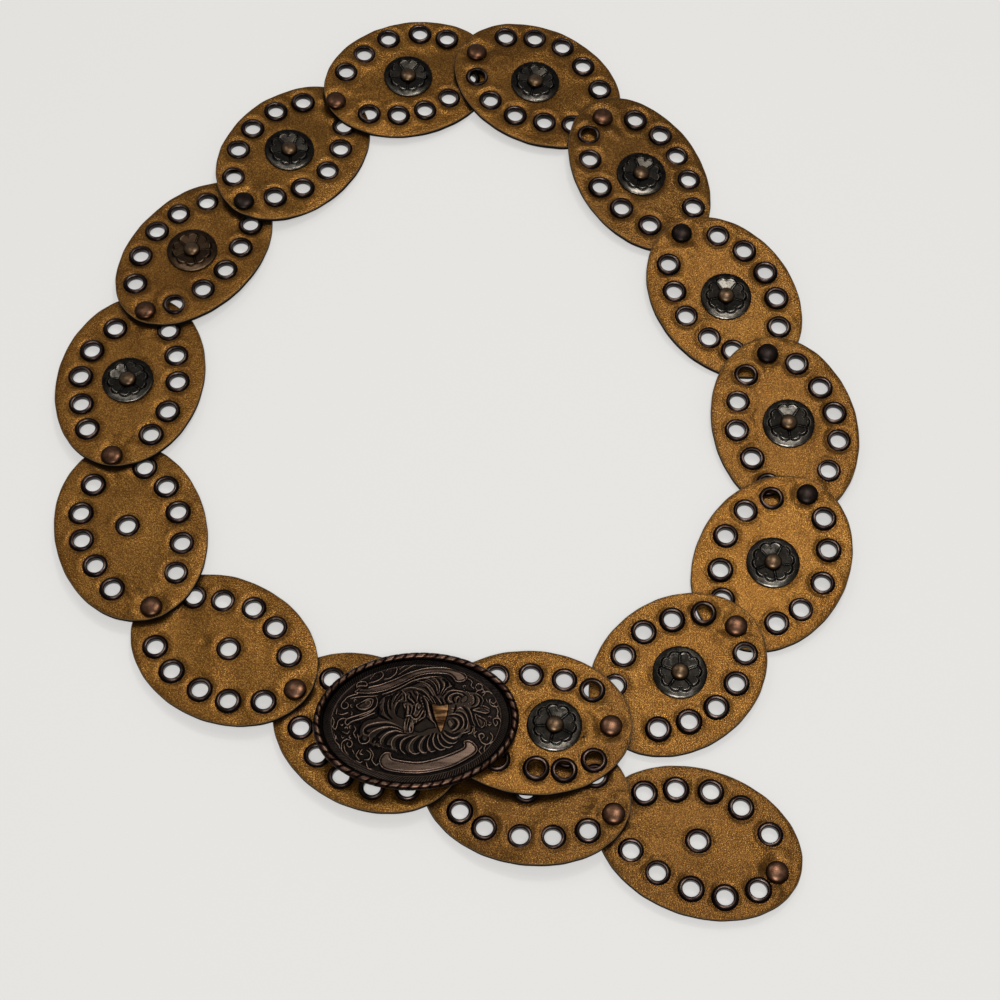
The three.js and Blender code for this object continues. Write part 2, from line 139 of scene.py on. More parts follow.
def to_world(d, u, v):
    """Row-frame x, y in mm of a point given along and across a disc or the buckle."""
    e = unit(d[2])
    return d[0] + u * e[0] - v * e[1] + SHIFT[0], d[1] + u * e[1] + v * e[0] + SHIFT[1]


def to_local(d, x, y):
    e = unit(d[2])
    return (x - d[0]) * e[0] + (y - d[1]) * e[1], -(x - d[0]) * e[1] + (y - d[1]) * e[0]


def plane(d, u, v):
    return d[5] + d[6] * u + d[7] * v


def smooth(x, lo, hi):
    t = np.clip((np.asarray(x, float) - lo) / (hi - lo), 0, 1)
    return t * t * (3 - 2 * t)


# ------------------------------------------------------------------ mesh helpers
def make(name, verts, faces, mats, face_mat=None, attrs=None, flat=False, ride=True):
    """A mesh object from points in mm, with float attributes on its points."""
    me = bpy.data.meshes.new(name)
    me.from_pydata([tuple(p) for p in (np.asarray(verts, float) * MM)], [], [tuple(int(i) for i in f) for f in faces])
    for m in mats:
        me.materials.append(m)
    if face_mat is not None:
        me.polygons.foreach_set("material_index", np.asarray(face_mat, dtype=np.int32))
    me.polygons.foreach_set("use_smooth", np.full(len(me.polygons), not flat, dtype=bool))
    for key, val in (attrs or {}).items():
        a = me.attributes.new(key, "FLOAT", "POINT")
        a.data.foreach_set("value", np.asarray(val, dtype=np.float32))
    me.update()
    me.validate()
    ob = bpy.data.objects.new(name, me)
    bpy.context.scene.collection.objects.link(ob)
    if ride:
        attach(ob, "root")
    return ob


class Mesh:
    """Collects points and faces of several shells into one mesh."""

    def __init__(self):
        self.v, self.f, self.m, self.a = [], [], [], {}
        self.n = 0

    def add(self, verts, faces, mat=0, **attrs):
        verts = np.asarray(verts, float)
        self.v.append(verts)
        self.f += [tuple(i + self.n for i in f) for f in faces]
        self.m += [mat] * len(faces)
        for k in attrs:
            self.a.setdefault(k, [])
        for k in self.a:
            val = attrs.get(k, 0.0)
            self.a[k].append(np.broadcast_to(np.asarray(val, float), (len(verts),)))
        self.n += len(verts)

    def done(self, name, mats, flat=False):
        attrs = {k: np.concatenate(x) for k, x in self.a.items()}
        return make(name, np.vstack(self.v), self.f, mats, self.m, attrs, flat)


def lathe(profile, steps, closed=False):
    """Points and faces of a solid turned about +Z. profile is radius, height from the bottom up outside.
    Ends on the axis are closed with fans; closed=True joins the last point to the first."""
    an = np.arange(steps) * 2 * math.pi / steps
    verts, rings = [], []
    for r, z in profile:
        if r < 1e-6:
            rings.append([len(verts)])
            verts.append((0, 0, z))
        else:
            rings.append(list(range(len(verts), len(verts) + steps)))
            verts += [(r * math.cos(a), r * math.sin(a), z) for a in an]
    faces = []
    pairs = list(zip(rings[:-1], rings[1:])) + ([(rings[-1], rings[0])] if closed else [])
    for a, b in pairs:
        for k in range(steps):
            j = (k + 1) % steps
            if len(a) == 1 and len(b) == 1:
                continue
            if len(a) == 1:
                faces.append((a[0], b[j], b[k]))
            elif len(b) == 1:
                faces.append((a[k], a[j], b[0]))
            else:
                faces.append((a[k], a[j], b[j], b[k]))
    return np.array(verts, float), faces


def arc(cx, cz, rx, rz, a0, a1, n):
    return [(cx + rx * math.cos(math.radians(a)), cz + rz * math.sin(math.radians(a))) for a in np.linspace(a0, a1, n)]


# ------------------------------------------------------------------ materials
class Nodes:
    def __init__(self, name):
        self.mat = bpy.data.materials.new(name)
        self.mat.use_nodes = True
        self.t = self.mat.node_tree
        self.t.nodes.clear()
        self.out = self.t.nodes.new("ShaderNodeOutputMaterial")
        self.p = self.t.nodes.new("ShaderNodeBsdfPrincipled")
        self.t.links.new(self.p.outputs[0], self.out.inputs[0])
        self.co = self.t.nodes.new("ShaderNodeTexCoord").outputs["Object"]

    def link(self, a, b):
        self.t.links.new(a, b)

    def _in(self, socket, value):
        if isinstance(value, bpy.types.NodeSocket):
            self.link(value, socket)
        else:
            socket.default_value = value

    def set(self, **kw):
        for k, v in kw.items():
            self._in(self.p.inputs[k.replace("_", " ")], v)

    def noise(self, scale, detail=2.0, rough=0.5, distort=0.0, vec=None):
        n = self.t.nodes.new("ShaderNodeTexNoise")
        self.link(vec or self.co, n.inputs["Vector"])
        n.inputs["Scale"].default_value = scale
        n.inputs["Detail"].default_value = detail
        n.inputs["Roughness"].default_value = rough
        n.inputs["Distortion"].default_value = distort
        return n.outputs["Fac"]

    def voronoi(self, scale, feature="F1", rand=1.0, vec=None, out="Distance", smooth=None):
        n = self.t.nodes.new("ShaderNodeTexVoronoi")
        n.feature = feature
        self.link(vec or self.co, n.inputs["Vector"])
        n.inputs["Scale"].default_value = scale
        n.inputs["Randomness"].default_value = rand
        if smooth is not None and "Smoothness" in n.inputs:
            n.inputs["Smoothness"].default_value = smooth
        return n.outputs[out]

    def ramp(self, fac, stops, mode="LINEAR"):
        n = self.t.nodes.new("ShaderNodeValToRGB")
        n.color_ramp.interpolation = mode
        e = n.color_ramp.elements
        while len(e) > 1:
            e.remove(e[-1])
        e[0].position, e[0].color = stops[0][0], self._rgba(stops[0][1])
        for pos, col in stops[1:]:
            x = e.new(pos)
            x.color = self._rgba(col)
        self.link(fac, n.inputs["Fac"])
        return n.outputs["Color"]

    @staticmethod
    def _rgba(c):
        if isinstance(c, (int, float)):
            return (c, c, c, 1)
        return (*c, 1)

    def mix(self, fac, a, b, mode="MIX"):
        n = self.t.nodes.new("ShaderNodeMix")
        n.data_type = "RGBA"
        n.blend_type = mode
        n.clamp_factor = True
        self._in(n.inputs["Factor"], fac)
        for key, val in (("A", a), ("B", b)):
            s = [i for i in n.inputs if i.name == key and i.type == "RGBA"][0]
            if isinstance(val, bpy.types.NodeSocket):
                self.link(val, s)
            else:
                s.default_value = self._rgba(val)
        return [o for o in n.outputs if o.type == "RGBA"][0]

    def math(self, op, a, b=0.0, c=None, clamp=False):
        n = self.t.nodes.new("ShaderNodeMath")
        n.operation = op
        n.use_clamp = clamp
        self._in(n.inputs[0], a)
        self._in(n.inputs[1], b)
        if c is not None:
            self._in(n.inputs[2], c)
        return n.outputs[0]

    def range(self, v, a, b, lo=0.0, hi=1.0):
        n = self.t.nodes.new("ShaderNodeMapRange")
        n.clamp = True
        self._in(n.inputs["Value"], v)
        n.inputs["From Min"].default_value = a
        n.inputs["From Max"].default_value = b
        n.inputs["To Min"].default_value = lo
        n.inputs["To Max"].default_value = hi
        return n.outputs[0]

    def attr(self, name):
        n = self.t.nodes.new("ShaderNodeAttribute")
        n.attribute_name = name
        return n.outputs["Fac"]

    def tint(self, name):
        n = self.t.nodes.new("ShaderNodeAttribute")
        n.attribute_name = name
        c = self.t.nodes.new("ShaderNodeCombineColor")
        for k in range(3):
            self.link(n.outputs["Fac"], c.inputs[k])
        return c.outputs[0]

    def stretch(self, x, y, z):
        n = self.t.nodes.new("ShaderNodeMapping")
        n.inputs["Scale"].default_value = (x, y, z)
        self.link(self.co, n.inputs["Vector"])
        return n.outputs["Vector"]

    def bump(self, height, strength=1.0, distance=0.0001, normal=None):
        n = self.t.nodes.new("ShaderNodeBump")
        n.inputs["Strength"].default_value = strength
        n.inputs["Distance"].default_value = distance
        self.link(height, n.inputs["Height"])
        if normal is not None:
            self.link(normal, n.inputs["Normal"])
        return n.outputs[0]


def leather_face():
    n = Nodes("bronze_leather")
    cells = n.voronoi(1550, "SMOOTH_F1", 1.0, smooth=0.18)
    fine = n.noise(3300, 2.0, 0.6)
    speck = n.noise(1900, 1.0, 0.5)
    mottle = n.noise(260, 2.0, 0.55)
    broad = n.noise(45, 3.0, 0.55)
    wide = n.noise(11, 2.0, 0.5)
    pebble = n.math("ADD", n.math("MULTIPLY", cells, -1.0), n.math("MULTIPLY", fine, 0.40))
    grain = n.range(cells, 0.12, 0.62, 1.0, 0.0)
    tone = n.math("ADD", n.math("MULTIPLY", grain, 0.40), n.math("MULTIPLY", speck, 0.40))
    tone = n.math("ADD", tone, n.math("ADD", n.math("MULTIPLY", broad, 0.18), n.math("MULTIPLY", mottle, 0.12)))
    col = n.ramp(tone, [(0.28, (0.080, 0.0300, 0.0028)), (0.44, (0.148, 0.0615, 0.0086)), (0.60, (0.215, 0.1000, 0.0180)), (0.78, (0.36, 0.202, 0.055))])
    col = n.mix(n.range(wide, 0.35, 0.68, 0.0, 0.30), col, (0.125, 0.0475, 0.0050), "MIX")
    # painted shade: darker in a narrow line where the leather meets each eyelet, rivet and concho and on the far end of
    # disc 1, and darker towards the outline
    worn = n.attr("worn")
    col = n.mix(n.math("MULTIPLY", worn, 0.75), col, (0.056, 0.022, 0.0045), "MIX")
    # near black along the crack in disc 1, and a painted shadow along the edge of the disc lying over this one
    crack_and_painted_shadow = n.attr("crack_and_painted_shadow")
    col = n.mix(crack_and_painted_shadow, col, (0.010, 0.007, 0.005))
    # each disc's colour is scaled by its per-disc entry, which is partly own tone and partly painted sheen and painted
    # shade
    col = n.mix(1.0, col, n.tint("tint"), "MULTIPLY")
    n.set(Base_Color=col, Metallic=n.range(tone, 0.35, 0.65, 0.80, 0.93), Roughness=n.range(speck, 0.35, 0.65, 0.38, 0.27))
    n.p.inputs["Specular IOR Level"].default_value = 0.45
    b = n.bump(pebble, 0.80, 0.00010)
    b = n.bump(mottle, 0.20, 0.00022, b)
    b = n.bump(broad, 0.26, 0.0007, b)
    n.set(Normal=b)
    return n.mat


def leather_edge():
    n = Nodes("black_cut_edge")
    a = n.noise(900, 3.0, 0.6)
    col = n.ramp(a, [(0.3, (0.0022, 0.0018, 0.0016)), (0.7, (0.0075, 0.006, 0.005))])
    col = n.mix(n.attr("worn"), col, (0.17, 0.105, 0.048), "MIX")
    n.set(Base_Color=col, Roughness=n.range(a, 0.3, 0.7, 0.62, 0.85), Normal=n.bump(a, 0.4, 0.00012))
    n.p.inputs["Specular IOR Level"].default_value = 0.05
    return n.mat


def leather_back():
    n = Nodes("flesh_side")
    a = n.noise(1400, 4.0, 0.7)
    w = n.noise(60, 3.0, 0.5)
    col = n.ramp(n.math("ADD", n.math("MULTIPLY", a, 0.6), n.math("MULTIPLY", w, 0.4)), [(0.3, (0.012, 0.009, 0.007)), (0.55, (0.030, 0.022, 0.017)), (0.75, (0.060, 0.045, 0.034))])
    n.set(Base_Color=col, Roughness=0.92, Normal=n.bump(a, 0.6, 0.00018))
    n.p.inputs["Sheen Weight"].default_value = 0.25
    n.p.inputs["Sheen Roughness"].default_value = 0.5
    return n.mat


def plated(name, dark, mid, light, rough=(0.30, 0.44), scale=420, wear_light_attribute="worn", bump=0.00004, stain=0.45, streak=None):
    """Antique plate: dark in the low places, brighter where it is handled and where a highlight is painted into the
    point attribute, with fine brushing and stain.
    """
    n = Nodes(name)
    a = n.noise(scale, 4.0, 0.6, vec=n.stretch(*streak) if streak else None)
    b = n.noise(scale * 5, 2.0, 0.5)
    w = n.attr(wear_light_attribute)
    t = n.math("ADD", w, n.math("MULTIPLY", n.math("SUBTRACT", a, 0.5), stain), clamp=True)
    col = n.ramp(t, [(0.0, dark), (0.38, mid), (1.0, light)])
    rg = n.math("ADD", n.math("MULTIPLY", a, rough[1] - rough[0]), n.math("MULTIPLY", b, 0.08))
    rg = n.math("ADD", rg, rough[0] - 0.02)
    n.set(Base_Color=col, Metallic=1.0, Roughness=rg)
    n.set(Normal=n.bump(n.math("ADD", a, n.math("MULTIPLY", b, 0.4)), 0.35, bump))
    return n.mat


M_FACE, M_EDGE, M_BACK = leather_face(), leather_edge(), leather_back()
M_EYE = plated("eyelet_dark_copper", (0.006, 0.0045, 0.0045), (0.028, 0.017, 0.0145), (0.30, 0.22, 0.185), (0.22, 0.34))
M_BACKPLATE = plated("plain_backs", (0.02, 0.012, 0.009), (0.11, 0.068, 0.046), (0.40, 0.28, 0.20), (0.34, 0.5))
M_GUN = plated("concho_gunmetal", (0.004, 0.0037, 0.0032), (0.034, 0.0298, 0.0248), (0.44, 0.405, 0.345), (0.19, 0.30))
M_GUN2 = plated("concho_brown_gunmetal", (0.008, 0.006, 0.004), (0.048, 0.028, 0.0155), (0.34, 0.22, 0.13), (0.26, 0.40))
M_STUD = plated("stud_bronze", (0.012, 0.007, 0.004), (0.062, 0.036, 0.018), (0.32, 0.22, 0.145), (0.24, 0.36))
M_RIVET = plated("rivet_copper", (0.018, 0.008, 0.005), (0.092, 0.044, 0.025), (0.34, 0.19, 0.115), (0.22, 0.34), stain=0.6)
M_RIVET_D = plated("rivet_black_copper", (0.006, 0.005, 0.0045), (0.026, 0.018, 0.015), (0.18, 0.12, 0.095), (0.26, 0.38))
M_BUCKLE = plated("buckle_antique_copper", (0.0028, 0.0025, 0.0025), (0.0172, 0.0122, 0.0092), (0.165, 0.112, 0.081), (0.26, 0.40), scale=300, stain=0.25)
M_PATCH = plated("buckle_bright_copper", (0.008, 0.0035, 0.0015), (0.030, 0.0140, 0.006), (0.23, 0.125, 0.055), (0.22, 0.34), scale=420, stain=2.1, streak=(0.22, 1.0, 1.0))
M_BAND = plated("buckle_polished_band", (0.0035, 0.0025, 0.002), (0.0185, 0.0120, 0.0092), (0.150, 0.100, 0.074), (0.20, 0.32), scale=380, stain=0.95, streak=(0.16, 1.0, 1.0))
M_ROPE = plated("buckle_rope", (0.0020, 0.0014, 0.0013), (0.024, 0.0110, 0.0075), (0.36, 0.225, 0.155), (0.24, 0.38), scale=420, stain=0.60)

# ------------------------------------------------------------------ leather discs
rng = random.Random(41)


def disc_shape(i):
    d = DISCS[i]
    a, b = d[3], d[4]
    eyes = EYELETS[i]
    rivs = [to_local(d, RIVETS[i][0], RIVETS[i][1])]
    if i > 0:
        rivs.append(to_local(d, RIVETS[i - 1][0], RIVETS[i - 1][1]))
    else:
        rivs.append(to_local(d, BRIVET["x"], BRIVET["y"]))
    con = CONCHOS[i][:2] if i < len(CONCHOS) else None
    return d, a, b, eyes, rivs, con


SEEDS = [[rng.uniform(-1, 1) for _ in range(24)] for _ in DISCS]


def relief(i, u, v):
    """How far the leather face of disc i rises or sinks, in mm, from the flat plate."""
    d, a, b, eyes, rivs, con = disc_shape(i)
    s = SEEDS[i]
    u, v = np.asarray(u, float), np.asarray(v, float)
    w = 0.44 * np.cos(u * 0.062 + s[0] * 2) * np.cos(v * 0.075 + s[1] * 2)
    w += 0.27 * np.sin((u * math.cos(s[2] * 3) + v * math.sin(s[2] * 3)) * 0.17 + s[3] * 3)
    w += 0.13 * np.sin((u * math.cos(s[4] * 3) + v * math.sin(s[4] * 3)) * 0.36 + s[5] * 3)
    win = 1 - smooth(np.abs(u), 24, 34)
    if con:
        win = win * smooth(np.hypot(u - con[0], v - con[1]), 11.5, 15)
    w = w * win
    for k, (cu, cv) in enumerate(eyes):
        r = np.hypot(u - cu, v - cv)
        th = np.arctan2(v - cv, u - cu)
        ruck = 1 + 0.35 * np.sin(th * 3 + s[(k * 3) % 24] * 9) + 0.2 * np.sin(th * 5 + s[(k * 5) % 24] * 9)
        w = w - 0.24 * np.exp(-np.clip(r - 5.7, 0, None) ** 2 / 1.5) + 0.17 * ruck * np.exp(-((r - 7.7) ** 2) / 1.6)
    for k, (cu, cv) in enumerate(rivs):
        r = np.hypot(u - cu, v - cv)
        th = np.arctan2(v - cv, u - cu)
        ruck = 1 + 0.8 * np.sin(th * 4 + s[6 + k] * 6) + 0.45 * np.sin(th * 7 + s[9 + k] * 6)
        w = w - 0.50 * np.exp(-np.clip(r - 4.4, 0, None) ** 2 / 5.0) + 0.27 * ruck * np.exp(-((r - 8.4) ** 2) / 5.5)
    # short creases that run from the far rivet towards the middle
    cu, cv = rivs[0]
    for k in range(3):
        ang = math.pi + s[12 + k] * 0.85
        du, dv = math.cos(ang), math.sin(ang)
        t = (u - cu) * du + (v - cv) * dv
        q = -(u - cu) * dv + (v - cv) * du + 0.9 * np.sin(t * 0.35 + s[15 + k] * 4)
        w = w + s[18 + k] * 0.34 * np.exp(-(q / 1.35) ** 2) * smooth(t, 5.5, 8.5) * (1 - smooth(t, 12, 19))
    if con:
        r = np.hypot(u - con[0], v - con[1])
        w = w - 0.16 * np.exp(-np.clip(r - 11.6, 0, None) ** 2 / 2.5)
    if i == 12:  # a thumb-sized dimple on the thirteenth disc
        w = w - 0.80 * np.exp(-((u + 9.2) ** 2 + (v + 1.6) ** 2) / 8.0) + 0.28 * np.exp(-((u + 5.6) ** 2 + (v - 1.4) ** 2) / 7.0)
    if i == 15:
        w = w - 0.35 * np.exp(-((u - 16) ** 2 / 18 + (v - 6) ** 2 / 5))
    return w


def build_disc(i):
    d, a, b, eyes, rivs, con = disc_shape(i)
    n_out = 132
    pts, loops = [], []

    def loop(cu, cv, ru, rv, n, ph=0.0):
        k0 = len(pts)
        for k in range(n):
            t = ph + 2 * math.pi * k / n
            pts.append((cu + ru * math.cos(t), cv + rv * math.sin(t)))
        loops.append(list(range(k0, k0 + n)))

    inset = 0.42
    loop(0, 0, a - inset, b - inset, n_out)
    holes = [(cu, cv, 4.35, 24) for cu, cv in eyes] + [(cu, cv, 2.0, 14) for cu, cv in rivs]
    if con:
        holes.append((con[0], con[1], 1.6, 12))
    for cu, cv, r, n in holes:
        loop(cu, cv, r, r, n)
    n_loops = len(pts)
    free = []
    for ins, cnt in ((1.1, 132), (2.1, 120)):
        for k in range(cnt):
            t = 2 * math.pi * (k + 0.5) / cnt
            free.append(((a - ins) * math.cos(t), (b - ins) * math.sin(t)))
    for cu, cv, r, n in holes:
        rings = ((5.1, 20), (5.9, 24), (6.7, 26), (7.6, 28)) if r > 4 else (((3.4, 16), (5.0, 20), (6.3, 22), (7.6, 26)) if r > 1.9 else ((3.0, 12),))
        for rr, m in rings:
            for k in range(m):
                t = 2 * math.pi * (k + 0.5) / m
                free.append((cu + rr * math.cos(t), cv + rr * math.sin(t)))
    if i == 0:
        cu, cv = CRACK[0][0]
        for ix in range(18):
            for iy in range(18):
                free.insert(0, (cu - 2.4 + ix * 0.3, cv - 2.9 + iy * 0.3))
    step = 1.45
    ny = int(2 * b / (step * 0.866)) + 1
    for r_ in range(ny):
        y = -b + r_ * step * 0.866
        for c_ in range(int(2 * a / step) + 2):
            x = -a + c_ * step + (step / 2 if r_ % 2 else 0)
            free.append((x, y))
    keep = []
    taken = {}

    def near(x, y, lim):
        cx, cy = int(x // 1.5), int(y // 1.5)
        for ix in (cx - 1, cx, cx + 1):
            for iy in (cy - 1, cy, cy + 1):
                for q in taken.get((ix, iy), ()):
                    if (q[0] - x) ** 2 + (q[1] - y) ** 2 < lim * lim:
                        return True
        return False

    for p in pts:
        taken.setdefault((int(p[0] // 1.5), int(p[1] // 1.5)), []).append(p)
    for x, y in free:
        if (x / (a - inset - 0.45)) ** 2 + (y / (b - inset - 0.45)) ** 2 > 1:
            continue
        if any((x - h[0]) ** 2 + (y - h[1]) ** 2 < (h[2] + 0.35) ** 2 for h in holes):
            continue
        if near(x, y, 0.22 if i == 0 and math.hypot(x - CRACK[0][0][0], y - CRACK[0][0][1]) < 3.2 else 0.72):
            continue
        taken.setdefault((int(x // 1.5), int(y // 1.5)), []).append((x, y))
        keep.append((x, y))
    allp = [Vector(p) for p in pts + keep]
    edges = []
    for lp in loops:
        edges += [(lp[k], lp[(k + 1) % len(lp)]) for k in range(len(lp))]
    vo, _, fo, orig, _, _ = delaunay_2d_cdt(allp, edges, [], 0, 1e-6)
    P = np.array([(p.x, p.y) for p in vo])
    F = []
    for f in fo:
        c = P[list(f)].mean(0)
        if (c[0] / (a - inset)) ** 2 + (c[1] / (b - inset)) ** 2 > 1.0001:
            continue
        if any((c[0] - h[0]) ** 2 + (c[1] - h[1]) ** 2 < (h[2] * 0.985) ** 2 for h in holes):
            continue
        F.append(tuple(f))
    back = {}
    for new, olds in enumerate(orig):
        for o in olds:
            back[o] = new
    w = relief(i, P[:, 0], P[:, 1])
    rn = np.hypot(P[:, 0] / a, P[:, 1] / b)
    fall = 0.16 * smooth((1 - rn) * (a + b) / 2, 2.6, 0.4)
    top = plane(d, P[:, 0], P[:, 1]) + LEATHER + w - fall
    low = plane(d, P[:, 0], P[:, 1]) + np.where(w < 0, -w * 0.35, w * 0.5) + fall * 0.6
    wx, wy = to_world(d, P[:, 0], P[:, 1])
    N = len(P)
    V = [np.stack([wx, wy, top], 1), np.stack([wx, wy, low], 1)]
    faces = [tuple(f) for f in F] + [tuple(x + N for x in reversed(f)) for f in F]
    fm = [0] * len(F) + [2] * len(F)
    eye_d = np.full(N, 99.0)
    for cu, cv in eyes:
        eye_d = np.minimum(eye_d, np.hypot(P[:, 0] - cu, P[:, 1] - cv) - 5.8)
    for cu, cv in rivs:
        eye_d = np.minimum(eye_d, np.hypot(P[:, 0] - cu, P[:, 1] - cv) - 4.8)
    if con:
        eye_d = np.minimum(eye_d, np.hypot(P[:, 0] - con[0], P[:, 1] - con[1]) - 11.9)
    # painted shade in a narrow line where the leather meets each eyelet, rivet and concho; darker towards the outline
    worn = 0.70 * (1 - smooth(eye_d, -0.2, 0.40)) + 0.35 * smooth(rn, 0.965, 0.995)
    crack_and_painted_shadow = np.zeros(N)
    if i == 0:
        worn = np.maximum(worn, 0.52 * smooth(P[:, 0] + 0.10 * np.abs(P[:, 1]), 24.5, 35.0))  # painted shade on the far end, in place of a bend; the face stays flat here
        for (u0, v0), (u1, v1), half in CRACK:
            t = np.clip(((P[:, 0] - u0) * (u1 - u0) + (P[:, 1] - v0) * (v1 - v0)) / ((u1 - u0) ** 2 + (v1 - v0) ** 2), 0, 1)
            dd = np.hypot(P[:, 0] - u0 - t * (u1 - u0), P[:, 1] - v0 - t * (v1 - v0))
            crack_and_painted_shadow = np.maximum(crack_and_painted_shadow, 1 - smooth(dd, half * 0.6, half * 1.3))
    # painted shadow on this disc along and just beside the edge of the disc that lies over it
    for over in ([DISCS[i - 1]] if i > 0 else []) + ([DISCS[0]] if i == 14 else []):
        ou, ov = to_local(over, wx - SHIFT[0], wy - SHIFT[1])
        out = (np.hypot(ou / over[3], ov / over[4]) - 1) * (over[3] + over[4]) / 2
        crack_and_painted_shadow = np.maximum(crack_and_painted_shadow, 0.60 * (1 - smooth(out, 0.1, 2.0)) * smooth(out, -4.0, -1.0))
    cnt = 2 * N
    worn_all = [worn, np.zeros(N)]
    # walls: outline with a rounded shoulder and the line between the two plies
    rim = [(0.16, 0.10), (0.02, 0.34), (0.0, 0.75), (0.0, 1.18), (0.20, 1.30), (0.02, 1.42), (0.0, 1.9), (0.03, 2.28), (0.18, 2.5)]
    lp = [back[k] for k in loops[0]]
    prev = lp
    for ins, drop in rim:
        ring = []
        for k in range(n_out):
            t = 2 * math.pi * k / n_out
            jig = 0.05 * math.sin(17 * t + i) + 0.04 * math.sin(31 * t + 2 * i)
            u, v = (a - ins + jig) * math.cos(t), (b - ins + jig) * math.sin(t)
            x, y = to_world(d, u, v)
            zt, zl = top[lp[k]], low[lp[k]]
            ring.append((x, y, zt + (zl - zt) * drop / LEATHER))
        V.append(np.array(ring))
        worn_all.append(np.full(n_out, 0.85 if drop < 0.2 else 0.0))
        cur = list(range(cnt, cnt + n_out))
        cnt += n_out
        for k in range(n_out):
            j = (k + 1) % n_out
            faces.append((prev[k], cur[k], cur[j], prev[j]))
            fm.append(1)
        prev = cur
    last = [x + N for x in lp]
    for k in range(n_out):
        j = (k + 1) % n_out
        faces.append((prev[k], last[k], last[j], prev[j]))
        fm.append(1)
    for h, lpi in zip(holes, loops[1:]):
        q = [back[k] for k in lpi]
        n = len(q)
        for k in range(n):
            j = (k + 1) % n
            faces.append((q[k], q[j], q[j] + N, q[k] + N))
            fm.append(1)
    worn_v = np.concatenate(worn_all)
    ob = make("leather_disc_%02d" % (i + 1), np.vstack(V), faces, [M_FACE, M_EDGE, M_BACK], fm,
              {"worn": worn_v, "crack_and_painted_shadow": np.concatenate([crack_and_painted_shadow, np.zeros(len(worn_v) - N)]),
               "tint": np.full(len(worn_v), TONE_AND_PAINTED_SHEEN[i])})
    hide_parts("disc_%02d" % (i + 1))
    return ob


# ------------------------------------------------------------------ eyelets, joined for each disc
def eyelet_profile(extra):
    """Rolled flange above, barrel through the leather, a flatter roll behind. Height 0 is the leather face."""
    t = LEATHER + extra
    p = [(3.62, -t + 0.35), (3.60, -1.3), (3.60, -0.10), (3.63, 0.25), (3.76, 0.52), (3.97, 0.71), (4.25, 0.79), (4.58, 0.74), (4.95, 0.58), (5.32, 0.33), (5.62, 0.06), (5.80, -0.20)]
    p += [(5.78, -0.36), (5.40, -0.40), (4.34, -0.38), (4.28, -t + 0.10), (4.9, -t + 0.02), (5.26, -t - 0.08), (5.28, -t - 0.26), (4.95, -t - 0.40), (4.35, -t - 0.44), (3.85, -t - 0.28)]
    return p


def build_eyelets(i):
    d, a, b, eyes, rivs, con = disc_shape(i)
    m = Mesh()
    prof = eyelet_profile(0.0)
    worn = []
    for r, z in prof:
        worn.append(0.50 if z > 0.70 else (0.24 if z > 0.45 else 0.04))
    for k, (cu, cv) in enumerate(eyes):
        verts, faces = lathe(prof, 26, closed=True)
        faces = [tuple(reversed(f)) for f in faces]
        w = np.repeat(worn, 26)
        th = np.arctan2(verts[:, 1], verts[:, 0])
        w = w * (0.75 + 0.35 * np.sin(th * 2 + k * 1.7 + i))
        u, v = verts[:, 0] + cu, verts[:, 1] + cv
        x, y = to_world(d, u, v)
        tip = SEEDS[i][(k * 7) % 24] * 0.010
        z = plane(d, u, v) + LEATHER + verts[:, 2] - 0.05 + tip * verts[:, 0]
        m.add(np.stack([x, y, z], 1), faces, 0, worn=w)
    ob = m.done("eyelets_%02d" % (i + 1), [M_EYE])
    return ob


# ------------------------------------------------------------------ rivets
def build_rivet(i):
    x0, y0, dark = RIVETS[i]
    d = DISCS[i]
    u0, v0 = to_local(d, x0, y0)
    seat = plane(d, u0, v0) + LEATHER + 0.02
    R = RIVET
    prof = [(0, 0), (3.5, 0.0), (3.95, 0.05), (R["foot"], 0.25), (R["foot"], 0.62), (4.0, R["foot_h"]), (R["shank"], R["foot_h"]), (R["shank"], seat - 0.15)]
    prof += [(4.35, seat - 0.30), (R["cap"] - 0.05, seat - 0.22), (R["cap"], seat + 0.15)]
    prof += [(R["cap"] * math.cos(math.radians(t)), seat + 0.15 + R["dome"] * math.sin(math.radians(t)) ** 0.92) for t in (14, 26, 38, 50, 61, 71, 80)]
    prof += [(0, seat + 0.15 + R["dome"])]
    verts, faces = lathe(prof, 40)
    mid = (R["foot_h"] + seat) / 2
    e = unit(d[2])
    sx, sy = d[6] * e[0] - d[7] * e[1], d[6] * e[1] + d[7] * e[0]
    up = verts[:, 2] > mid
    z = verts[:, 2] + np.where(up, sx * verts[:, 0] + sy * verts[:, 1], 0)
    rr = np.hypot(verts[:, 0], verts[:, 1])
    worn = np.where(up, 0.46 - 0.42 * smooth(rr, 2.9, 4.85), 0.35)
    worn = np.where(up & (z < seat + 0.3), 0.0, worn)
    ob = make("rivet_cap_%02d" % (i + 1), np.stack([verts[:, 0] + x0 + SHIFT[0], verts[:, 1] + y0 + SHIFT[1], z], 1), faces,
              [M_RIVET_D if dark > 0.5 else M_RIVET], None, {"worn": worn * (1 - 0.6 * dark)})
    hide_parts("rivet_%02d" % (i + 1))
    return ob


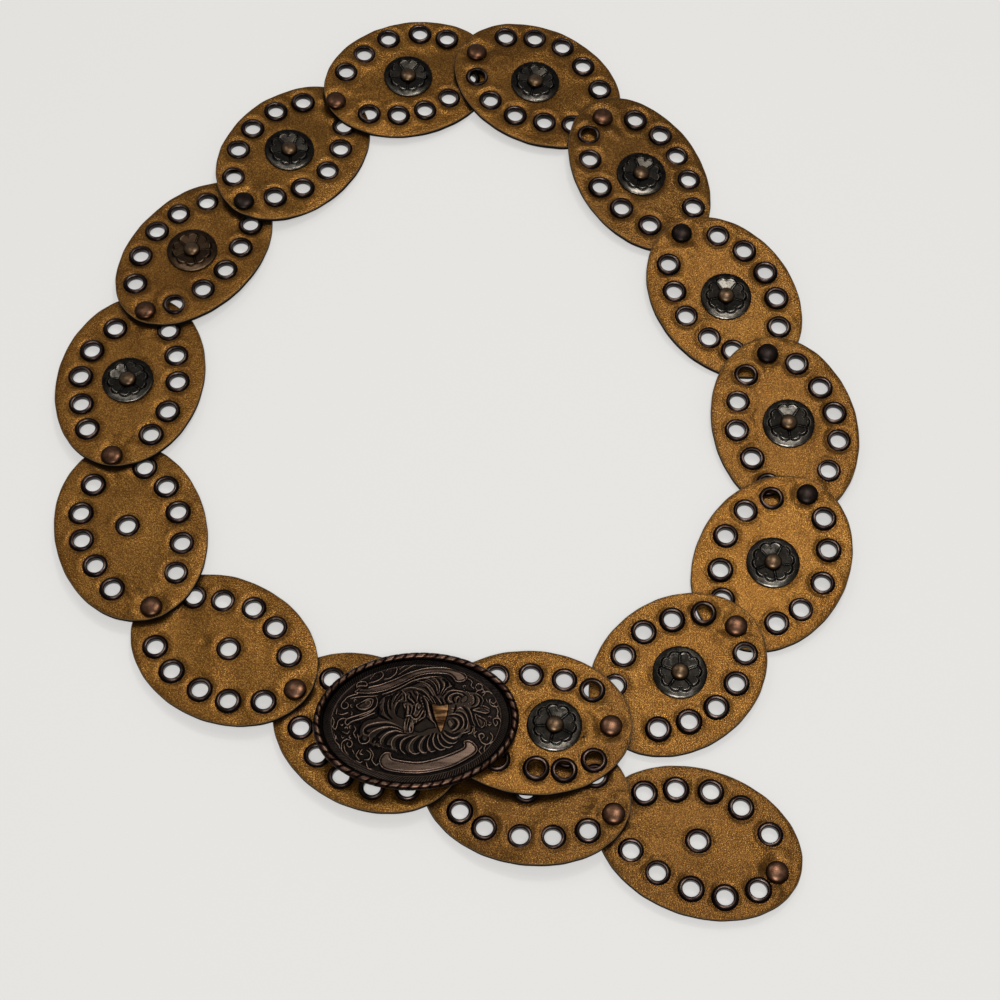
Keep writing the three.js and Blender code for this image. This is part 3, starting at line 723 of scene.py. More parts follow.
# ------------------------------------------------------------------ conchos
def concho_height(r, ph):
    """Height in mm over the concho's base, and how worn it is, at radius r and angle ph from a gap."""
    half = 2 * math.pi / 5
    p = np.mod(ph, half)
    edge = np.minimum(p, half - p)  # from the nearest gap between petals
    mid = np.abs(p - half / 2)
    lob = np.abs(np.sin(5 * ph))
    tip = 7.45 + 1.55 * np.clip(lob, 0, 1) ** 0.5 - 0.25 * np.exp(-(mid / 0.07) ** 2)
    facet = 0.62 + 0.150 * (r * np.cos(mid) - 3.0) + 0.10 * np.cos(mid * 2.2)
    inside = 1 - smooth(r, tip - 0.16, tip + 0.16)
    flange = 1.18 - 0.40 * np.clip((r - 8.0) / 3.8, 0, 1) ** 1.25
    h = flange + (facet - flange) * inside
    bead = np.exp(-((r - tip + 0.42) / 0.26) ** 2)
    line = np.exp(-((r - tip - 0.22) / 0.26) ** 2)
    h = h + 0.15 * bead * inside - 0.40 * line
    off = edge * r
    reach = smooth(r, 3.2, 3.7) * (1 - smooth(r, 8.5, 9.0))
    groove = (1 - smooth(np.abs(off - 0.34), 0.08, 0.26)) * reach
    rib = (1 - smooth(off, 0.08, 0.22)) * reach
    h = h - 0.30 * groove
    cut = np.exp(-(mid * r / 0.20) ** 2) * smooth(r, 6.2, 7.2) * inside
    h = h - 0.10 * cut
    worn = 0.25 * inside + 0.13 * (1 - inside)
    worn = worn + 0.24 * bead * inside * lob + 0.18 * rib - 0.45 * line - 0.5 * groove - 0.2 * cut
    worn = worn + 0.10 * smooth(r, 11.2, 11.7)
    return h, np.clip(worn, 0, 1)


def build_concho(i):
    d = DISCS[i]
    cu, cv, turn, brown, painted_glint_angle, painted_glint_amount = CONCHOS[i]
    c = CONCHO
    half = 2 * math.pi / 5
    cell = sorted(set([round(x, 5) for x in (0.0, 0.018, 0.036, 0.054, 0.075, 0.10)] + [round(x, 5) for x in np.linspace(0.14, half - 0.14, 19)] + [round(half - x, 5) for x in (0.018, 0.036, 0.054, 0.075, 0.10)]))
    phs = np.array([p + k * half for k in range(5) for p in cell])
    rs = np.array([c["hole"], 2.6, 3.3, 3.8, 4.5, 5.2, 5.8, 6.3, 6.7] + [6.95 + 0.17 * k for k in range(16)] + [9.8, 10.2, 10.7, 11.1, 11.45, 11.68, 11.8])
    n, m = len(phs), len(rs)
    R, PH = np.meshgrid(rs, phs, indexing="ij")
    H, wear_and_painted_glint = concho_height(R, PH)
    H = H - 0.16 * smooth(R, 11.3, 11.8)
    jig = 0.05 * np.sin(PH * 23 + i) * smooth(R, 10.5, 11.8)
    ang = PH + math.radians(turn)
    petal = (np.floor(PH / half) + 0.5) * half + math.radians(turn)  # the middle of the petal each point is on
    on = 1 - smooth(R, 7.6, 9.0)
    # painted highlight on the petals facing the given direction, and on the side of the flange towards the bottom (-y),
    # added to the wear
    wear_and_painted_glint = wear_and_painted_glint + painted_glint_amount * on * smooth(np.cos(petal - math.radians(painted_glint_angle)), 0.50, 1.0) * smooth(R, 3.4, 4.4) + 0.34 * (1 - on) * smooth(-np.sin(ang), 0.35, 1.0)
    wear_and_painted_glint = np.clip(wear_and_painted_glint, 0, 1)
    X, Y = (R + jig) * np.cos(ang), (R + jig) * np.sin(ang)
    V = [np.stack([X.ravel(), Y.ravel(), H.ravel()], 1)]
    faces = []
    for a in range(m - 1):
        for k in range(n):
            j = (k + 1) % n
            faces.append((a * n + k, (a + 1) * n + k, (a + 1) * n + j, a * n + j))
    worn = [wear_and_painted_glint.ravel()]
    cnt = m * n
    prev = [(m - 1) * n + k for k in range(n)]
    under = [(11.85, 0.22), (11.7, 0.02), (11.2, 0.0), (9.6, 0.16), (7.0, 0.30), (3.5, 0.2), (c["hole"], 0.1)]
    for r, z in under:
        V.append(np.stack([r * np.cos(ang[0]), r * np.sin(ang[0]), np.full(n, z)], 1))
        worn.append(np.full(n, 0.1))
        cur = list(range(cnt, cnt + n))
        cnt += n
        for k in range(n):
            j = (k + 1) % n
            faces.append((prev[k], cur[k], cur[j], prev[j]))
        prev = cur
    for k in range(n):
        j = (k + 1) % n
        faces.append((prev[k], k, j, prev[j]))
    V = np.vstack(V)
    worn = np.concatenate(worn)
    x0, y0 = to_world(d, cu, cv)
    e = unit(d[2])
    sx, sy = d[6] * e[0] - d[7] * e[1], d[6] * e[1] + d[7] * e[0]
    z = plane(d, cu, cv) + LEATHER + 0.06 + V[:, 2] * 1.12 + sx * V[:, 0] + sy * V[:, 1]
    ob = make("flower_concho_%02d" % (i + 1), np.stack([V[:, 0] + x0, V[:, 1] + y0, z], 1), faces, [M_GUN2 if brown > 0.5 else M_GUN], None, {"worn": worn})
    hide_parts("concho_%02d" % (i + 1))
    # the stud through it
    S = STUD
    low = plane(d, cu, cv)
    seat = low + LEATHER + 1.05
    prof = [(0, low - 0.3 - S["foot_h"]), (2.8, low - 0.3 - S["foot_h"]), (S["foot"], low - 0.85), (S["foot"], low - 0.45), (S["foot"] - 0.2, low - 0.3), (S["shank"], low - 0.3), (S["shank"], seat)]
    prof += [(S["cap"] - 0.25, seat), (S["cap"], seat + 0.18)]
    prof += [(S["cap"] * math.cos(math.radians(t)), seat + 0.3 + S["dome"] * math.sin(math.radians(t))) for t in (8, 20, 32, 44, 56, 67, 78)]
    prof += [(0, seat + 0.3 + S["dome"])]
    verts, fs = lathe(prof, 32)
    rr = np.hypot(verts[:, 0], verts[:, 1])
    w2 = np.where(verts[:, 2] > seat, 0.46 - 0.40 * smooth(rr, 2.9, 3.85), 0.2)
    ob2 = make("concho_stud_cap_%02d" % (i + 1), np.stack([verts[:, 0] + x0, verts[:, 1] + y0, verts[:, 2] + sx * verts[:, 0] + sy * verts[:, 1]], 1), fs, [M_STUD], None, {"worn": w2})
    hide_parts("concho_stud_%02d" % (i + 1))
    return ob


# ------------------------------------------------------------------ buckle
BF = (BUCKLE["x"], BUCKLE["y"], BUCKLE["heading"])
BA, BB = BUCKLE["long"], BUCKLE["wide"]


def curve(pts, close=False, per=8):
    """A Catmull-Rom curve through pts."""
    P = np.array(pts, float)
    if len(P) == 2 and not close:
        return P
    if close:
        ext = np.vstack([P[-1], P, P[0], P[1]])
    else:
        ext = np.vstack([2 * P[0] - P[1], P, 2 * P[-1] - P[-2]])
    out = []
    for k in range(1, len(ext) - 2):
        p0, p1, p2, p3 = ext[k - 1:k + 3]
        for t in np.linspace(0, 1, per, endpoint=False):
            out.append(0.5 * ((2 * p1) + (-p0 + p2) * t + (2 * p0 - 5 * p1 + 4 * p2 - p3) * t * t + (-p0 + 3 * p1 - 3 * p2 + p3) * t ** 3))
    if not close:
        out.append(P[-1])
    return np.array(out)


class Relief:
    """A height map of the buckle's face in mm along and across the buckle, with a map of how worn the plate is."""

    def __init__(self, step):
        self.s = step
        self.nu, self.nv = int(2 * BA / step) + 1, int(2 * BB / step) + 1
        self.u = np.linspace(-BA, BA, self.nu)
        self.v = np.linspace(-BB, BB, self.nv)
        self.U, self.V = np.meshgrid(self.u, self.v, indexing="ij")
        self.h = np.zeros(self.U.shape)
        self.w = np.full(self.U.shape, 0.06)
        self.made = np.zeros(self.U.shape)
        self.patch = np.zeros(self.U.shape)

    def window(self, u0, u1, v0, v1):
        du, dv = self.u[1] - self.u[0], self.v[1] - self.v[0]
        a0, a1 = max(0, int((u0 + BA) / du)), min(self.nu, int((u1 + BA) / du) + 2)
        b0, b1 = max(0, int((v0 + BB) / dv)), min(self.nv, int((v1 + BB) / dv) + 2)
        return slice(a0, a1), slice(b0, b1)

    def stroke(self, kind, width, height, t0, t1, pts):
        """A rounded ridge or a groove along a smooth curve. The tapers scale the width at the two ends."""
        P = curve(pts)
        seg = np.hypot(*np.diff(P, axis=0).T)
        L = np.concatenate([[0], np.cumsum(seg)])
        n = max(3, int(L[-1] / 0.12))
        t = np.linspace(0, L[-1], n)
        X, Y = np.interp(t, L, P[:, 0]), np.interp(t, L, P[:, 1])
        x = t / max(L[-1], 1e-6)
        env = np.where(x < 0.5, t0 + (1 - t0) * np.sin(x * math.pi) ** 0.8, t1 + (1 - t1) * np.sin(x * math.pi) ** 0.8)
        wide = width / 2 + 0.3
        w = self.window(X.min() - wide, X.max() + wide, Y.min() - wide, Y.max() + wide)
        U, V = self.U[w], self.V[w]
        k = np.zeros(U.shape)
        for p, q, e in zip(X, Y, env):
            r = max(0.16, width / 2 * e)
            i0, i1 = np.searchsorted(U[:, 0], (p - r, p + r))
            j0, j1 = np.searchsorted(V[0], (q - r, q + r))
            d2 = ((U[i0:i1, j0:j1] - p) ** 2 + (V[i0:i1, j0:j1] - q) ** 2) / (r * r)
            k[i0:i1, j0:j1] = np.maximum(k[i0:i1, j0:j1], (0.55 + 0.45 * e) * np.clip(1 - d2, 0, 1) ** 0.5)
        h, wn, md = self.h[w], self.w[w], self.made[w]
        if kind == "cut":
            kk = smooth(k, 0.0, 0.75)
            h[:] = h * (1 - kk) - height * kk
            wn[:] = wn * (1 - smooth(k, 0.0, 0.5))
        else:
            h[:] = np.maximum(h, height * k)
            wn[:] = np.maximum(wn, 0.80 * smooth(k, 0.25, 0.95))
        md[:] = np.maximum(md, k > 0.05)

    def shape(self, name, height, worn, bevel, edge, pts):
        """A raised flat shape with bevelled sides and, where edge is set, a fine raised line round it."""
        P = curve(pts, close=True)
        w = self.window(P[:, 0].min() - 1, P[:, 0].max() + 1, P[:, 1].min() - 1, P[:, 1].max() + 1)
        U, V = self.U[w], self.V[w]
        ins, dd = np.zeros(U.shape, bool), np.full(U.shape, 99.0)
        for (x0, y0), (x1, y1) in zip(P, np.roll(P, -1, axis=0)):
            dy = y1 - y0
            ins ^= ((y0 > V) != (y1 > V)) & (U < (x1 - x0) * (V - y0) / (dy if abs(dy) > 1e-9 else 1e-9) + x0)
            l2 = max((x1 - x0) ** 2 + dy ** 2, 1e-9)
            t = np.clip(((U - x0) * (x1 - x0) + (V - y0) * dy) / l2, 0, 1)
            dd = np.minimum(dd, np.hypot(U - x0 - t * (x1 - x0), V - y0 - t * dy))
        h, wn, md = self.h[w], self.w[w], self.made[w]
        k = smooth(dd, 0, bevel)
        low = np.minimum(h, 0.0) if edge else h
        hh = np.where(h > 0, h * (1 - k), h * (1 - k)) + height * k
        fw = worn * smooth(dd, 0.1, bevel + 0.1)
        if edge:
            ln = np.exp(-((dd - 0.42) / 0.20) ** 2)
            gr = np.exp(-((dd - 0.98) / 0.22) ** 2)
            hh = hh + edge * ln - edge * 0.9 * gr
            fw = np.maximum(fw * (1 - 0.85 * gr), 0.78 * ln)
            out = ~ins & (dd < 0.7)
            h[:] = np.where(out, np.minimum(h, -0.08 * (1 - dd / 0.7)), h)
            wn[:] = np.where(out, wn * smooth(dd, 0.3, 0.9), wn)
        h[:] = np.where(ins, hh, h)
        wn[:] = np.where(ins, np.maximum(fw, 0.0), wn)
        md[:] = np.maximum(md, ins)
        kind = {"shield": 1.0, "ribbon": 2.0, "ribbon_roll": 2.0, "banner": 2.0}.get(name, 0.0)
        f = self.patch[w]
        f[:] = np.where(ins, kind, f)


def blur(a, n):
    """A box blur run twice over a map."""
    for _ in range(2):
        for ax in (0, 1):
            c = np.cumsum(np.concatenate([np.repeat(np.take(a, [0], ax), n + 1, ax), a, np.repeat(np.take(a, [-1], ax), n, ax)], ax), ax)
            m = a.shape[ax]
            a = (np.take(c, np.arange(2 * n + 1, 2 * n + 1 + m), ax) - np.take(c, np.arange(0, m), ax)) / (2 * n + 1)
    return a


# name, height, worn, bevel, edge line, points along and across
FACE_SHAPES = [
    ("field", 0.3, 0.3, 0.8, 0.0, [(-23.2, -0.8), (-21.0, 1.1), (-16.8, 2.0), (-15.5, 4.2), (-15.7, 7.8), (-13.9, 10.9), (-7.5, 13.5), (-1.0, 15.9), (5.5, 18.5), (11.9, 19.3), (15.4, 16.6), (17.6, 13.3), (22.7, 12.1), (26.9, 11.0), (28.8, 7.2), (25.7, 3.8), (23.7, -0.6), (23.5, -5.1), (20.4, -7.6), (16.4, -11.4), (10.4, -14.2), (2.0, -15.7), (-6.4, -15.2), (-12.2, -12.9), (-17.2, -11.8), (-20.5, -9.8), (-23.4, -7.9), (-24.4, -4.3)]),
    ("flat_left", 0.05, 0.22, 0.4, 0.0, [(-7.7, 7.4), (-6.4, 8.2), (-4.9, 7.3), (-4.5, 3.2), (-4.6, 0.3), (-6.7, 1.0), (-8.5, 2.9)]),
    ("flat_low", 0.05, 0.22, 0.4, 0.0, [(-1.4, -5.1), (-1.1, -2.8), (0.9, -0.9), (4.7, 0.2), (7.4, -1.7), (8.3, -4.2), (4.9, -4.7), (1.9, -6.1)]),
    ("ribbon", 0.46, 0.5, 0.5, 0.2, [(-24.2, 15.5), (-23.1, 16.2), (-20.4, 16.0), (-18.4, 16.4), (-13.7, 17.3), (-7.2, 19.6), (-2.5, 21.7), (2.7, 23.2), (7.0, 23.8), (12.1, 23.7), (16.4, 22.9), (20.2, 21.4), (22.4, 19.5), (22.9, 17.8), (21.8, 16.3), (19.5, 15.7), (17.3, 16.3), (16.4, 17.9), (14.9, 19.3), (13.2, 19.8), (9.8, 20.2), (5.6, 20.1), (1.3, 19.1), (-2.6, 17.3), (-7.0, 15.3), (-11.3, 13.7), (-14.7, 12.9), (-19.0, 12.5), (-23.2, 12.9), (-25.3, 13.3), (-25.7, 14.3)]),
    ("ribbon_roll", 0.36, 0.3, 0.5, 0.16, [(-24.8, 15.6), (-24.8, 17.9), (-23.0, 19.0), (-20.5, 18.8), (-19.6, 17.1), (-20.4, 16.0), (-23.1, 16.2)]),
    ("leaf", 0.4, 0.36, 0.5, 0.2, [(-25.4, 7.7), (-23.3, 9.2), (-19.9, 10.8), (-17.6, 10.3), (-17.5, 8.4), (-18.7, 6.4), (-21.3, 5.2), (-23.9, 5.7)]),
    ("banner", 0.5, 0.62, 0.5, 0.22, [(-10.7, -16.1), (-11.0, -14.1), (-13.1, -13.6), (-15.2, -14.9), (-16.5, -17.6), (-15.4, -20.5), (-12.5, -22.1), (-6.7, -23.4), (-0.1, -24.0), (5.8, -23.6), (14.3, -21.9), (21.1, -18.7), (24.6, -16.5), (25.7, -14.1), (24.0, -11.3), (21.6, -10.0), (19.4, -11.0), (19.4, -13.1), (16.7, -14.5), (12.4, -16.1), (6.1, -17.8), (0.2, -18.6), (-5.3, -17.8), (-8.6, -17.0)]),
    ("petal_a", 0.42, 0.34, 0.5, 0.18, [(23.8, 2.8), (26.1, 4.1), (29.1, 4.2), (32.0, 2.0), (30.0, 0.9), (27.7, 1.4)]),
    ("petal_b", 0.42, 0.34, 0.5, 0.18, [(24.6, 1.4), (27.2, 0.5), (29.4, -2.2), (28.9, -4.7), (27.1, -5.3), (25.7, -3.4)]),
    ("neck", 0.4, 0.3, 0.5, 0.0, [(0.3, 13.5), (2.7, 11.7), (4.9, 9.1), (5.9, 6.0), (6.7, 3.0), (7.5, -0.4), (8.3, -2.5), (6.8, -1.5), (5.4, -0.1), (4.2, 0.7), (4.8, 2.3), (4.2, 5.4), (3.7, 8.2), (2.5, 10.6), (0.9, 11.2)]),
    ("head", 0.55, 0.34, 0.7, 0.0, [(-4.8, 7.8), (-2.9, 8.2), (-1.0, 7.2), (0.8, 7.4), (2.5, 7.0), (3.5, 4.7), (4.2, 2.7), (3.6, 0.7), (2.1, -0.3), (1.2, -1.0), (-0.3, -2.4), (-1.0, -3.5), (-1.0, -5.2), (-1.5, -6.4), (-3.3, -6.6), (-5.1, -6.1), (-5.6, -4.4), (-5.2, -1.6), (-4.6, 1.2), (-4.4, 3.2), (-4.8, 5.1), (-5.3, 6.8)]),
    ("poll", 0.42, 0.26, 0.5, 0.0, [(-4.3, 12.4), (-2.1, 13.6), (0.3, 13.3), (2.3, 10.7), (3.0, 8.6), (2.5, 6.6), (0.8, 7.1), (-1.0, 6.8), (-2.7, 7.8), (-4.5, 7.7), (-3.9, 9.6)]),
    ("nose", 0.66, 0.5, 0.55, 0.0, [(-2.1, -0.5), (-1.3, -1.8), (-1.2, -4.1), (-1.7, -6.0), (-2.9, -6.1), (-3.5, -4.7), (-3.2, -2.7)]),
    ("ear_near", 0.62, 0.42, 0.4, 0.0, [(0.8, 8.6), (0.4, 9.7), (1.1, 11.2), (1.7, 11.2), (2.0, 9.8), (1.5, 8.5)]),
    ("ear_far", 0.56, 0.36, 0.4, 0.0, [(-0.7, 13.1), (-0.1, 13.2), (1.1, 11.4), (0.7, 10.6), (-0.1, 11.6)]),
    ("swirl_patch", 0.48, 0.34, 0.4, 0.0, [(20.4, 9.2), (21.7, 9.9), (22.6, 8.8), (22.1, 7.3), (20.6, 6.4), (19.4, 6.8), (19.3, 7.8)]),
    ("pearl", 0.46, 0.42, 0.4, 0.0, [(13.1, -1.7), (14.3, -0.8), (15.5, -2.2), (15.8, -3.4), (14.5, -4.5), (13.4, -3.5)]),
    ("shield", 0.56, 0.38, 0.35, 0.0, [(7.0, 6.6), (10.5, 5.9), (14.0, 6.1), (13.8, 2.6), (12.4, -2.2), (10.4, -6.6), (8.8, -3.4), (7.5, 1.6)]),
]
# kind, width, height or depth, taper at the start, taper at the end, points along and across
FACE_LINES = [
    ("line", 0.6, 0.4, 0.8, 0.6, [(-24.3, 13.1), (-26.6, 12.6), (-28.7, 11.8), (-30.0, 10.4), (-31.1, 9.2), (-31.3, 7.6), (-30.0, 6.7), (-28.5, 7.5), (-28.6, 9.1), (-29.7, 9.7)]),
    ("line", 0.55, 0.36, 0.6, 0.4, [(-27.5, 11.2), (-24.5, 11.6), (-20.7, 11.7), (-17.3, 11.6), (-15.8, 11.9)]),
    ("line", 0.6, 0.38, 0.5, 0.5, [(-13.9, 12.2), (-9.6, 13.4), (-5.3, 15.2), (-0.9, 17.5), (3.4, 18.6), (7.7, 19.2), (11.9, 19.1)]),
    ("line", 0.55, 0.34, 0.5, 0.4, [(-19.5, 17.8), (-16.2, 18.5), (-13.6, 20.0), (-13.1, 21.8), (-14.4, 23.1), (-16.1, 22.6), (-17.4, 21.1), (-18.7, 19.8)]),
    ("cut", 0.8, 0.12, 0.5, 0.3, [(-16.2, 19.7), (-15.0, 21.0), (-15.3, 22.1)]),
    ("line", 0.55, 0.34, 0.5, 0.4, [(-12.8, 19.0), (-9.8, 19.8), (-7.8, 21.5), (-7.1, 23.8), (-8.3, 24.7), (-10.3, 24.4), (-11.8, 22.9)]),
    ("cut", 0.8, 0.12, 0.5, 0.3, [(-10.6, 21.0), (-9.3, 22.3), (-9.4, 23.5)]),
    ("line", 0.5, 0.32, 0.4, 0.4, [(-6.6, 21.0), (-3.7, 22.9), (-0.2, 24.8), (3.7, 25.5), (8.0, 25.7), (12.2, 25.4)]),
    ("line", 0.5, 0.3, 0.4, 0.4, [(-6.2, 23.5), (-3.2, 25.1), (0.3, 26.1)]),
    ("cut", 0.9, 0.14, 0.4, 0.4, [(-23.9, 17.7), (-22.2, 17.9), (-20.5, 17.5)]),
    ("line", 0.5, 0.55, 0.6, 0.4, [(-20.9, 6.8), (-19.4, 7.4), (-18.9, 8.9), (-20.1, 9.7), (-21.0, 8.8), (-20.3, 8.0)]),
    ("cut", 0.8, 0.1, 0.4, 0.4, [(-24.4, 7.2), (-23.4, 8.3), (-21.6, 9.1)]),
    ("line", 0.5, 0.46, 0.5, 0.5, [(-24.3, 6.5), (-21.7, 6.0), (-19.6, 6.7)]),
    ("line", 0.6, 0.38, 0.6, 0.6, [(-16.5, 11.3), (-15.9, 9.2), (-16.8, 6.5), (-20.1, 4.6), (-23.9, 3.5), (-27.3, 2.6), (-29.3, 1.8), (-29.9, 0.3), (-29.0, -0.7), (-27.6, 0.3), (-26.1, 1.0), (-22.7, 1.9), (-19.3, 3.2), (-16.3, 4.3)]),
    ("line", 0.5, 0.34, 0.4, 0.4, [(-15.9, 8.8), (-17.1, 6.1), (-20.1, 3.8), (-23.9, 2.7)]),
    ("cut", 1.3, 0.16, 0.3, 0.2, [(-14.5, 8.0), (-16.1, 6.1), (-16.3, 3.8), (-14.2, 1.9), (-11.3, 0.3)]),
    ("cut", 1.5, 0.18, 0.3, 0.2, [(-10.1, 11.6), (-11.9, 9.4), (-12.6, 6.3), (-12.0, 3.1), (-10.1, 0.7)]),
    ("cut", 1.3, 0.18, 0.3, 0.2, [(-7.5, 12.8), (-9.7, 10.7), (-10.7, 7.6), (-10.5, 4.9)]),
    ("cut", 1.2, 0.16, 0.3, 0.2, [(-5.1, 13.6), (-7.5, 11.5), (-9.0, 8.8), (-8.9, 7.2)]),
    ("cut", 1.1, 0.16, 0.3, 0.2, [(-5.4, 11.4), (-6.3, 10.0), (-7.2, 8.1), (-7.0, 6.0)]),
    ("cut", 1.2, 0.16, 0.3, 0.2, [(-6.4, 6.7), (-7.9, 4.9), (-8.1, 2.7)]),
    ("cut", 1.0, 0.14, 0.3, 0.3, [(-11.0, 11.2), (-12.2, 10.4), (-12.5, 9.0)]),
    ("line", 0.5, 0.46, 0.4, 0.4, [(-5.5, 13.6), (-3.7, 14.3), (-1.6, 14.6), (1.1, 14.0), (3.2, 13.2)]),
    ("cut", 0.9, 0.18, 0.4, 0.3, [(-5.6, 12.5), (-7.4, 10.7), (-8.7, 8.5), (-9.3, 7.5)]),
    ("line", 0.45, 0.4, 0.4, 0.4, [(-6.3, 12.7), (-8.0, 10.9), (-9.2, 8.5)]),
    ("cut", 0.8, 0.18, 0.3, 0.6, [(-5.4, 8.1), (-6.8, 7.3), (-7.9, 5.7), (-8.4, 2.9)]),
    ("line", 0.45, 0.42, 0.4, 0.4, [(-5.0, 9.6), (-6.8, 8.7), (-8.2, 6.8), (-8.8, 5.3)]),
    ("line", 0.55, 0.56, 0.6, 0.5, [(-5.5, 13.4), (-4.3, 12.1), (-3.9, 10.5), (-3.9, 9.0), (-4.5, 7.9)]),
    ("cut", 0.6, 0.2, 0.4, 0.4, [(-4.9, 11.7), (-4.4, 10.4), (-4.6, 8.9)]),
    ("cut", 0.7, 0.22, 0.4, 0.4, [(-3.1, 11.0), (-3.5, 9.6), (-2.5, 8.5), (-1.3, 7.2), (-1.0, 6.4)]),
    ("line", 0.6, 0.66, 0.5, 0.5, [(-2.8, 10.5), (-2.2, 9.3), (-1.1, 8.3), (-0.3, 7.1)]),
    ("cut", 0.6, 0.22, 0.4, 0.4, [(-1.4, 10.8), (-0.6, 9.0), (0.4, 7.5)]),
    ("cut", 0.5, 0.2, 0.4, 0.4, [(-0.8, 13.0), (0.1, 11.4), (0.9, 10.5)]),
    ("line", 0.5, 0.62, 0.5, 0.5, [(0.3, 13.2), (1.2, 11.8), (1.5, 10.6), (0.9, 9.3), (0.6, 7.8)]),
    ("cut", 0.55, 0.22, 0.4, 0.4, [(1.8, 10.8), (1.5, 8.7), (1.9, 7.8), (2.4, 7.0)]),
    ("cut", 0.7, 0.18, 0.4, 0.4, [(-2.5, 12.5), (-1.7, 11.3), (-1.9, 9.8)]),
    ("line", 0.9, 0.74, 0.6, 0.5, [(-3.2, 6.0), (-3.1, 4.3), (-3.5, 2.6)]),
    ("line", 0.55, 0.68, 0.6, 0.5, [(-5.0, 7.2), (-4.6, 6.0), (-4.1, 5.1)]),
    ("cut", 0.5, 0.2, 0.4, 0.4, [(-4.0, 6.6), (-3.8, 5.4), (-4.1, 3.9), (-4.3, 2.3)]),
    ("cut", 0.65, 0.22, 0.4, 0.4, [(-2.6, 6.3), (-2.1, 4.8), (-2.4, 3.1), (-2.7, 2.0)]),
    ("cut", 0.8, 0.24, 0.5, 0.4, [(-0.5, 6.0), (-0.7, 4.5), (-1.3, 2.7), (-1.7, 1.9)]),
    ("line", 0.75, 0.78, 0.6, 0.7, [(0.8, 6.9), (0.2, 5.6), (0.0, 3.9), (-0.7, 2.3)]),
    ("line", 0.5, 0.74, 0.5, 0.5, [(0.3, 6.3), (0.8, 6.9), (1.6, 7.2)]),
    ("cut", 0.55, 0.24, 0.5, 0.5, [(0.5, 5.6), (0.8, 4.4), (1.5, 4.0), (2.3, 4.7), (2.8, 5.6)]),
    ("line", 0.62, 0.86, 0.9, 0.9, [(1.3, 5.6), (1.4, 5.0)]),
    ("cut", 0.65, 0.26, 0.5, 0.4, [(-1.5, 1.9), (-0.5, 0.8), (0.5, 0.8), (1.8, 2.7), (3.2, 4.7)]),
    ("line", 0.6, 0.74, 0.5, 0.5, [(0.5, 1.3), (1.3, 2.5), (2.4, 4.3)]),
    ("line", 0.6, 0.78, 0.5, 0.6, [(3.6, 3.9), (2.5, 2.1), (1.4, 0.6), (0.5, -0.1)]),
    ("cut", 0.6, 0.26, 0.4, 0.4, [(3.5, 2.8), (2.9, 1.5), (2.3, 0.3)]),
    ("line", 0.6, 0.76, 0.5, 0.5, [(4.1, 3.5), (4.2, 2.2), (3.6, 0.7), (2.1, -0.2), (1.2, -0.9)]),
    ("line", 0.6, 0.84, 0.6, 0.6, [(0.3, 0.0), (0.3, -1.7)]),
    ("line", 0.55, 0.8, 0.7, 0.7, [(-4.2, 1.5), (-3.0, 1.7), (-2.0, 1.5), (-1.3, 0.4), (-0.2, -0.1), (0.5, 0.1)]),
    ("cut", 0.4, 0.2, 0.4, 0.4, [(-4.2, 0.8), (-3.0, 1.1), (-2.1, 0.7)]),
    ("cut", 0.45, 0.22, 0.4, 0.4, [(-3.5, 0.5), (-3.9, -0.9), (-4.0, -3.2), (-4.2, -5.4)]),
    ("cut", 0.5, 0.22, 0.4, 0.4, [(-2.2, 0.5), (-3.1, -1.4), (-3.5, -3.2), (-3.7, -5.4)]),
    ("line", 0.45, 0.76, 0.4, 0.4, [(-4.4, 0.6), (-4.8, -1.6), (-5.1, -3.9), (-5.0, -5.9)]),
    ("line", 0.5, 0.78, 0.4, 0.4, [(-2.5, 0.9), (-3.2, -0.8), (-3.8, -2.8), (-4.0, -5.0)]),
    ("line", 0.6, 0.84, 0.5, 0.5, [(-1.8, -0.3), (-1.3, -2.0), (-1.3, -3.9), (-1.7, -5.5), (-2.7, -5.9)]),
    ("cut", 0.5, 0.26, 0.5, 0.5, [(-2.3, -3.4), (-1.9, -4.6), (-2.3, -5.5)]),
    ("line", 0.45, 0.82, 0.5, 0.5, [(-2.6, -3.2), (-3.0, -4.5), (-2.7, -5.8)]),
    ("cut", 0.5, 0.24, 0.4, 0.4, [(-0.6, -2.8), (1.1, -1.5), (2.9, -0.3), (4.0, 0.5)]),
    ("cut", 0.5, 0.22, 0.4, 0.4, [(4.0, 0.5), (5.6, -0.8), (7.2, -1.8)]),
    ("line", 0.6, 0.6, 0.4, 0.5, [(5.8, 0.0), (6.8, -1.0), (8.1, -2.3), (8.4, -4.0)]),
    ("line", 0.6, 0.8, 1, 1, [(2.7, 9.6), (2.7, 9.4)]),
    ("line", 0.6, 0.8, 1, 1, [(2.7, 8.2), (2.8, 7.9)]),
    ("line", 0.6, 0.8, 1, 1, [(3.1, 6.9), (3.1, 6.6)]),
    ("line", 0.6, 0.8, 1, 1, [(3.4, 5.7), (3.4, 5.4)]),
    ("cut", 0.55, 0.24, 0.4, 0.4, [(3.3, 9.8), (3.7, 8.0), (4.1, 5.4), (4.5, 1.6)]),
    ("line", 0.85, 0.56, 0.4, 0.5, [(3.7, 10.3), (5.1, 7.8), (5.4, 5.3), (5.7, 2.5), (6.3, -0.2)]),
    ("line", 0.4, 0.62, 0.4, 0.4, [(3.5, 10.7), (5.3, 9.1), (6.1, 6.8), (6.6, 4.5)]),
    ("cut", 0.75, 0.22, 0.4, 0.4, [(4.2, 9.8), (5.8, 7.5), (6.5, 4.9), (7.1, 2.2), (7.7, -0.1), (9.0, -3.9)]),
    ("cut", 0.7, 0.2, 0.3, 0.4, [(0.3, 13.4), (1.9, 12.8), (3.1, 11.9), (4.3, 10.9), (5.6, 9.3), (6.8, 7.1)]),
    ("cut", 0.6, 0.2, 0.4, 0.5, [(5.7, 10.6), (6.9, 9.0), (8.0, 7.0)]),
